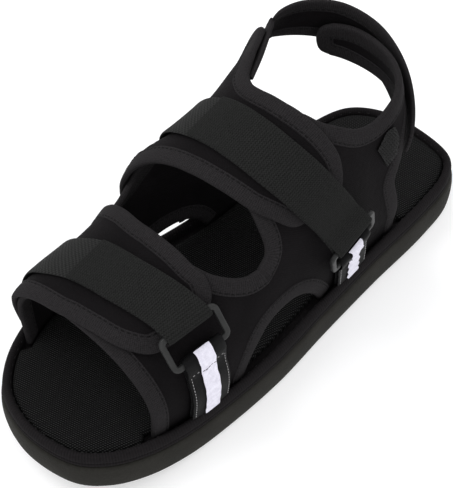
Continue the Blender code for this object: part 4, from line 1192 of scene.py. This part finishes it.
def band(name, node, path, spacing, thickness, way, width, looks, across, ripple=0.0, first=0):
    """A strip with rounded selvedges along a path over the upper, in the second look up to point first."""
    whole = run_length(path)
    path, run = even(whole, path, spacing)
    left = left_of(path)
    shares = np.sin(np.linspace(-0.5, 0.5, across) * math.pi) / 2
    round_off = np.sqrt(np.clip(1 - np.abs(2 * shares) ** 14, 0.10, 1))
    section = [*zip(shares, round_off), *zip(shares[::-1], -round_off[::-1])]
    rows, uv = [], []
    for share, side in section:
        at = path + left * (side * thickness / 2)
        wave = np.sin(run * 2 * math.pi / RIPPLE_LENGTH + 5 * share) * np.abs(2 * share)
        beside = share * width + ripple * wave
        rows.append(way.place(at[:, 0], at[:, 1], beside))
        uv.append(np.column_stack([run, beside]))
    faces = tube_faces(len(path), len(section))
    lower = run < whole[first]
    look_of = [int(lower[min(f[0] // len(section), len(lower) - 1)]) for f in faces]
    corners, uv = (np.stack(columns, axis=1) for columns in (rows, uv))
    piece(name, node, corners, faces, looks, uv, look_of, angle=60)


def strap(end, way, end_turn):
    """A strap from the inner side through its ring and back on itself."""
    bar = -BAR_REACH
    low = STRAP_LOW + WEBBING / 2
    out = heights(np.arange(way.start, bar - 0.004, FINE), low)
    turnback = fold_round((bar, RING_HIGH), FOLD, -90, 90, 15)
    back = np.arange(bar - 0.005, way.run_at(end_turn) - FINE / 2, -FINE)
    lie = low + WEBBING + LAYER_GAP / 2
    home = heights(back, settling(back, bar, RING_HIGH + FOLD, lie, 0.010))
    path = np.concatenate([out, turnback, home])
    band(
        end + "_strap_band", end + "_strap", path, 0.0012, WEBBING, way, STRAP_WIDTH,
        [PILE, WEAVE], 17, first=len(out) + 2,
    )


def tape(end, way, lines):
    """A tape from the sole up round the ring's lower bar and down again."""
    bar, foot = BAR_REACH, way.foot
    low = TAPE_LOW + WEBBING / 2
    lie = low + WEBBING + LAYER_GAP
    going = np.append(np.arange(foot, bar + 0.005, -FINE), bar + FOLD_CLEAR)
    turnback = fold_round((bar, RING_LOW), FOLD, 270, 90, 15)
    back = np.append(np.arange(bar + FOLD_CLEAR, foot, FINE), foot)
    home = heights(back, settling(back, bar, RING_LOW + FOLD, lie, TAPE_SETTLE))
    path = np.concatenate([heights(going, low), turnback, home])
    band(
        end + "_tape", end + "_ring_tape", path, 0.0009, WEBBING, way, TAPE_WIDTH,
        [SATIN], 13, 0.0001,
    )
    thread = WEBBING / 2 + TAPE_RISE
    seam = np.arange(bar + TAPE_SEAM_START, foot - 0.001, 0.0008)
    for beside in (TAPE_SEAM_INSET - TAPE_WIDTH / 2, TAPE_WIDTH / 2 - TAPE_SEAM_INSET):
        lines.append((way.place(seam, lie + thread, beside), outward(*way.spot(seam))))
    cross = np.linspace(-0.5, 0.5, 24) * (TAPE_WIDTH - 0.003)
    here = np.full(len(cross), bar + TAPE_CROSS_SEAM)
    whole = way.place(here, settling(here, bar, RING_LOW + FOLD, lie, TAPE_SETTLE) + thread, cross)
    away = outward(*way.spot(here))
    for side in (cross < -STRIPE_WIDTH / 2, cross > STRIPE_WIDTH / 2):
        lines.append((whole[side], away[side]))


def stripe(end, way, ripple):
    """The bright stripe down the middle of a tape, round its fold."""
    bar, foot = BAR_REACH, way.foot
    lie = TAPE_LOW + 2 * WEBBING + LAYER_GAP + GAP + STRIPE_THICKNESS / 2
    reach = FOLD + WEBBING / 2 + GAP + STRIPE_THICKNESS / 2
    fold = fold_round((bar, RING_LOW), reach, 150, 90, 9)
    down = np.append(np.arange(bar + FOLD_CLEAR, foot, FINE), foot)
    path = np.concatenate([fold, heights(down, settling(down, bar, RING_LOW + reach, lie, TAPE_SETTLE))])
    name = end + "_stripe_band"
    band(
        name, end + "_stripe", path, 0.0007, STRIPE_THICKNESS, way, STRIPE_WIDTH,
        [SILVER], 11, ripple,
    )
    cross = np.linspace(-0.5, 0.5, 12) * (STRIPE_WIDTH - 0.0006)
    seam = bar + STRIPE_CROSS_SEAM
    here = seam + 0.0004 * np.sin(cross * 900)
    height = settling(seam, bar, RING_LOW + reach, lie, TAPE_SETTLE) + STRIPE_THICKNESS / 2 + STRIPE_RISE
    lines = [(way.place(here, height, cross), outward(*way.spot(here)))]
    stitch_piece(name + "_fold", lines, SHADED_THREAD, "stripe_reflective", **FOLD_STITCH)


def ring(end, way):
    """A moulded rectangular ring that lies in the plane of the strap and the tape."""
    centre = (way.high_bar + way.low_bar) / 2
    plane = np.stack([way.aside, way.down, np.cross(way.down, way.aside)])
    half_width = (RING_WIDTH - RING_BAR) / 2
    half_length = np.linalg.norm(way.low_bar - way.high_bar) / 2
    corner = 0.8 * RING_BAR
    path = []
    for cx, cy, start in ((1, 1, 0), (-1, 1, 90), (-1, -1, 180), (1, -1, 270)):
        middle = (cx * (half_width - corner), cy * (half_length - corner))
        path.append(fold_round(middle, corner, start, start + 90, 9))
    path = np.concatenate(path)
    angle = np.linspace(0, 2 * math.pi, 20, endpoint=False)
    u, v = (np.sign(part) * np.abs(part) ** RING_SQUARE / 2 for part in (np.cos(angle), np.sin(angle)))
    flat = path[:, None] - left_of(path, True)[:, None] * (u * RING_BAR)[:, None]
    thick = np.broadcast_to(v * RING_THICKNESS, flat.shape[:2])
    corners = centre + np.concatenate([flat, thick[..., None]], axis=2).reshape(-1, 3) @ plane
    faces = tube_faces(len(path), len(angle), True)
    piece(end + "_ring_moulded", end + "_ring", corners, faces, [PLASTIC])


def hook_patch():
    """The rough patch on the outer side that the ankle strap fastens to, with its hooks."""
    way = resample(run_of(HOOK_PATCH), smoothed=False)[:-1]
    low = WALL + BINDING_STEP + GAP
    high = low + PATCH_THICKNESS - GAP
    shell("hook_patch_base", "hook_patch", [way], low, high, HOOK, 0.0016)
    spots = (grid_points([way * FLAT], HOOK_SPACING) / FLAT).T
    corners, faces = [], []
    angle = np.arange(5) * 2 * math.pi / 5
    for index, (root, up) in enumerate(zip(over(*spots, high), outward(*spots))):
        side = unit(np.cross(up, (0.3, 1.0, 0.2 if index % 2 else -0.4)))
        front = np.cross(up, side)
        bend = side * HOOK_BEND * (1 if index % 3 else -1)
        faces += [[len(corners) + v for v in f] for f in tube_faces(4, 5)]
        for rise, radius in HOOK_RINGS:
            centre = root + up * rise + bend * (rise / HOOK_TIP) ** 2
            for a in angle:
                corners.append(centre + (side * math.cos(a) + front * math.sin(a)) * radius)
    piece("hook_patch_hooks", None, np.array(corners), faces, [HOOK])


class Ankle:
    """The way of the ankle strap, from the inner side round the leg to the outer side."""

    def __init__(self):
        self.depth = FLAP_LOW / 2 - GAP
        self.laid_on = run_of(ANKLE_START).T
        first = np.column_stack([self.flat_over(*self.laid_on, self.depth), outward(*self.laid_on)])
        turns = np.asarray(ANKLE["turn"], float)
        x, y = leg_centre()
        x -= LOOP_INWARD
        y += ANKLE_DEPTH + WALL + BINDING_STEP + 2 * LAYER_GAP + ANKLE_STRAP_THICKNESS / 2 - LOOP_DEPTH
        angle = np.radians(turns)
        flat = oval(turns, LOOP_WIDTH, LOOP_DEPTH, (x, y))
        away = unit(np.stack([np.cos(angle) * LOOP_DEPTH, np.sin(angle) * LOOP_WIDTH / 2, 0 * angle], axis=1))
        lean = np.radians(np.asarray(ANKLE["lean"], float))[:, None]
        away = away * np.cos(lean) + np.array([0, 0, 1.0]) * np.sin(lean)
        rest = np.column_stack([flat, INSTEP_HEIGHT * np.asarray(ANKLE["height"]), away])
        points = np.concatenate([first, rest])
        knots = knots_of(points[:, :3])
        dense = smooth_rows(knots, points, np.linspace(0, knots[-1], 30 * len(points)))
        path, self.run = even(run_length(dense[:, :3]), dense, 0.0015)
        self.middle = path[:, :3]
        ahead = ahead_of(self.middle)
        self.wide = unit(np.cross(path[:, 3:], ahead))
        self.away = np.cross(ahead, self.wide)
        self.laid = (self.laid_on[0][0] - self.laid_on[0][-1]) * LENGTH
        self.length = self.run[-1]

    def flat_over(self, along, turn, distance):
        return upper_face(along, turn) + outward(along, turn) * np.asarray(distance, float)[..., None]

    def at(self, rows, x):
        return read_rows(self.run, rows, x)

    def place(self, x, y, h):
        h = np.asarray(h, float)[..., None]
        flat = self.at(self.middle, x) + self.at(self.wide, x) * y[..., None] + self.at(self.away, x) * h
        share = np.minimum(x / self.laid, 2)
        along, turn = (rows[0] + share * (rows[-1] - rows[0]) for rows in self.laid_on)
        _, by_turn = slopes(along, turn)
        bent = self.flat_over(along, turn + y / np.linalg.norm(by_turn, axis=-1), self.depth + h[..., 0])
        free = ease((x - self.laid - 0.0010) / STRAP_RELEASE)[..., None]
        return flat * free + bent * (1 - free)

    def border(self, inset, count_side=150, count_tip=25):
        """A line round the strap at a distance in from its border, tip in the middle."""
        half = ANKLE_STRAP_WIDTH / 2
        straight = np.linspace(0, self.length - half, count_side)
        angle = np.radians(np.linspace(90, -90, count_tip)[1:-1])
        radius = half - inset
        side = np.full(count_side, radius)
        x = np.concatenate([straight, self.length - half + radius * np.cos(angle), straight[::-1]])
        return x, np.concatenate([side, radius * np.sin(angle), -side])


def ankle_strap():
    way = Ankle()
    half = ANKLE_STRAP_WIDTH / 2
    thin = ANKLE_STRAP_THICKNESS - 2 * BINDING_STEP
    tip = way.length - half
    x = np.concatenate([np.arange(0, tip, FINE), tip + half * np.sin(np.linspace(0, 88, 14) * math.pi / 180)])
    left = np.clip((way.length - x) / half, 0, 1)
    reach = np.minimum(half * np.sqrt(np.clip(1 - (1 - left) ** 2, 0.001, 1)), half) - 0.0004
    shares = np.linspace(-1, 1, 13)
    section = [(s, 0.5) for s in shares] + [(s, -0.5) for s in shares[::-1]]
    corners = np.stack([way.place(x, reach * share, side * thin) for share, side in section], axis=1)
    uv = np.stack([np.column_stack([x, reach * share]) for share, _ in section], axis=1)
    faces = tube_faces(len(x), len(section))
    piece("ankle_strap_shell", "ankle_strap", corners, faces, [NEOPRENE], uv)
    width = ANKLE_BINDING_WIDTH
    top = [(width * share, 0.5, height) for share, height in ANKLE_BINDING]
    top += [(-0.0001, 0.42, 0.0), (-0.0002, 0.15, 0.0)]
    tuck = [(width * 0.5, -0.5, 0.0003), (0.0008, -0.5, 0.0004)]
    section = []
    for half in (top, tuck):
        section += half + [(inset, -side, -height) for inset, side, height in half[::-1]]
    rows = [way.place(*way.border(inset), side * thin + height) for inset, side, height in section]
    knitted("binding_ankle", rows, run_length(rows[0]))
    bx, by = way.border(width - STITCH_BORDER)
    height = thin / 2 + ANKLE_RISE
    lines = [(way.place(bx, by, side * height), way.at(way.away, bx) * side) for side in (1, -1)]
    stitch_piece("ankle_stitches", lines, SHADED_THREAD)


# The scene


def camera():
    """The photograph's angle: looking down over the outer side of the toe."""
    azimuth, elevation, distance = math.radians(44.8), math.radians(52.8), 0.7338
    side, focal, shift = 488, 1400.0, (12.67, -56.12)
    level = math.cos(elevation)
    back = Vector((math.sin(azimuth) * level, -math.cos(azimuth) * level, math.sin(elevation)))
    right = Vector((math.cos(azimuth), math.sin(azimuth), 0))
    lens = bpy.data.cameras.new("camera")
    lens.sensor_fit = "AUTO"
    lens.sensor_width = 36.0
    lens.lens = focal / side * lens.sensor_width
    lens.shift_x = -shift[0] / side
    lens.shift_y = -shift[1] / side
    lens.clip_start = 0.01
    thing = linked("camera", lens)
    turned = Matrix((right, back.cross(right), back)).transposed().to_4x4()
    thing.matrix_world = Matrix.Translation(back * distance + Vector(SHIFT)) @ turned
    bpy.context.scene.camera = thing


SKY = 0.85
# Each lamp's name, place, size and power.
LAMPS = (
    ("key", (-0.9, -0.6, 1.5), 1.2, 14.0),
    ("fill", (1.3, -0.9, 0.9), 1.4, 6.0),
    ("back", (0.2, 1.4, 1.1), 1.2, 6.0),
)


def light(name, place, size, power):
    """A round lamp that points at the shoe."""
    lamp = bpy.data.lights.new(name, "AREA")
    lamp.shape = "DISK"
    lamp.size = size
    lamp.energy = power
    thing = linked(name, lamp)
    thing.location = place
    thing.rotation_euler = (Vector((0, 0, 0.03)) - Vector(place)).to_track_quat("-Z", "Y").to_euler()


def studio():
    mesh = bpy.data.meshes.new("floor")
    side = 6.0
    corners = [(-side, -side, 0), (side, -side, 0), (side, side, 0), (-side, side, 0)]
    mesh.from_pydata(corners, [], [(0, 1, 2, 3)])
    mesh.materials.append(floor_look())
    floor = linked("floor", mesh)
    world = bpy.data.worlds.new("studio")
    world.use_nodes = True
    sky = world.node_tree.nodes["Background"]
    sky.inputs[0].default_value = (1.0, 1.0, 1.0, 1.0)
    sky.inputs[1].default_value = SKY
    bpy.context.scene.world = world
    for lamp in LAMPS:
        light(*lamp)
    bpy.context.scene.view_settings.view_transform = "Standard"


camera()
sole()
upper()
flap("front", FRONT_FLAP)
flap("rear", REAR_FLAP)
front = Strap(FRONT_STRAP, FRONT_RING_TURN)
rear = Strap(REAR_STRAP, REAR_RING_TURN)
strap("front", front, FRONT_STRAP_END)
strap("rear", rear, REAR_STRAP_END)
ring("front", front)
ring("rear", rear)
tape_lines = []
tape("front", front, tape_lines)
tape("rear", rear, tape_lines)
stitch_piece("tape_stitches", tape_lines, PALE_THREAD, "tape_satin", **SMALL_STITCH, pitch=TAPE_STITCH_PITCH)
stripe("front", front, 0.0001)
stripe("rear", rear, 0.0005)
hook_patch()
ankle_strap()
studio()
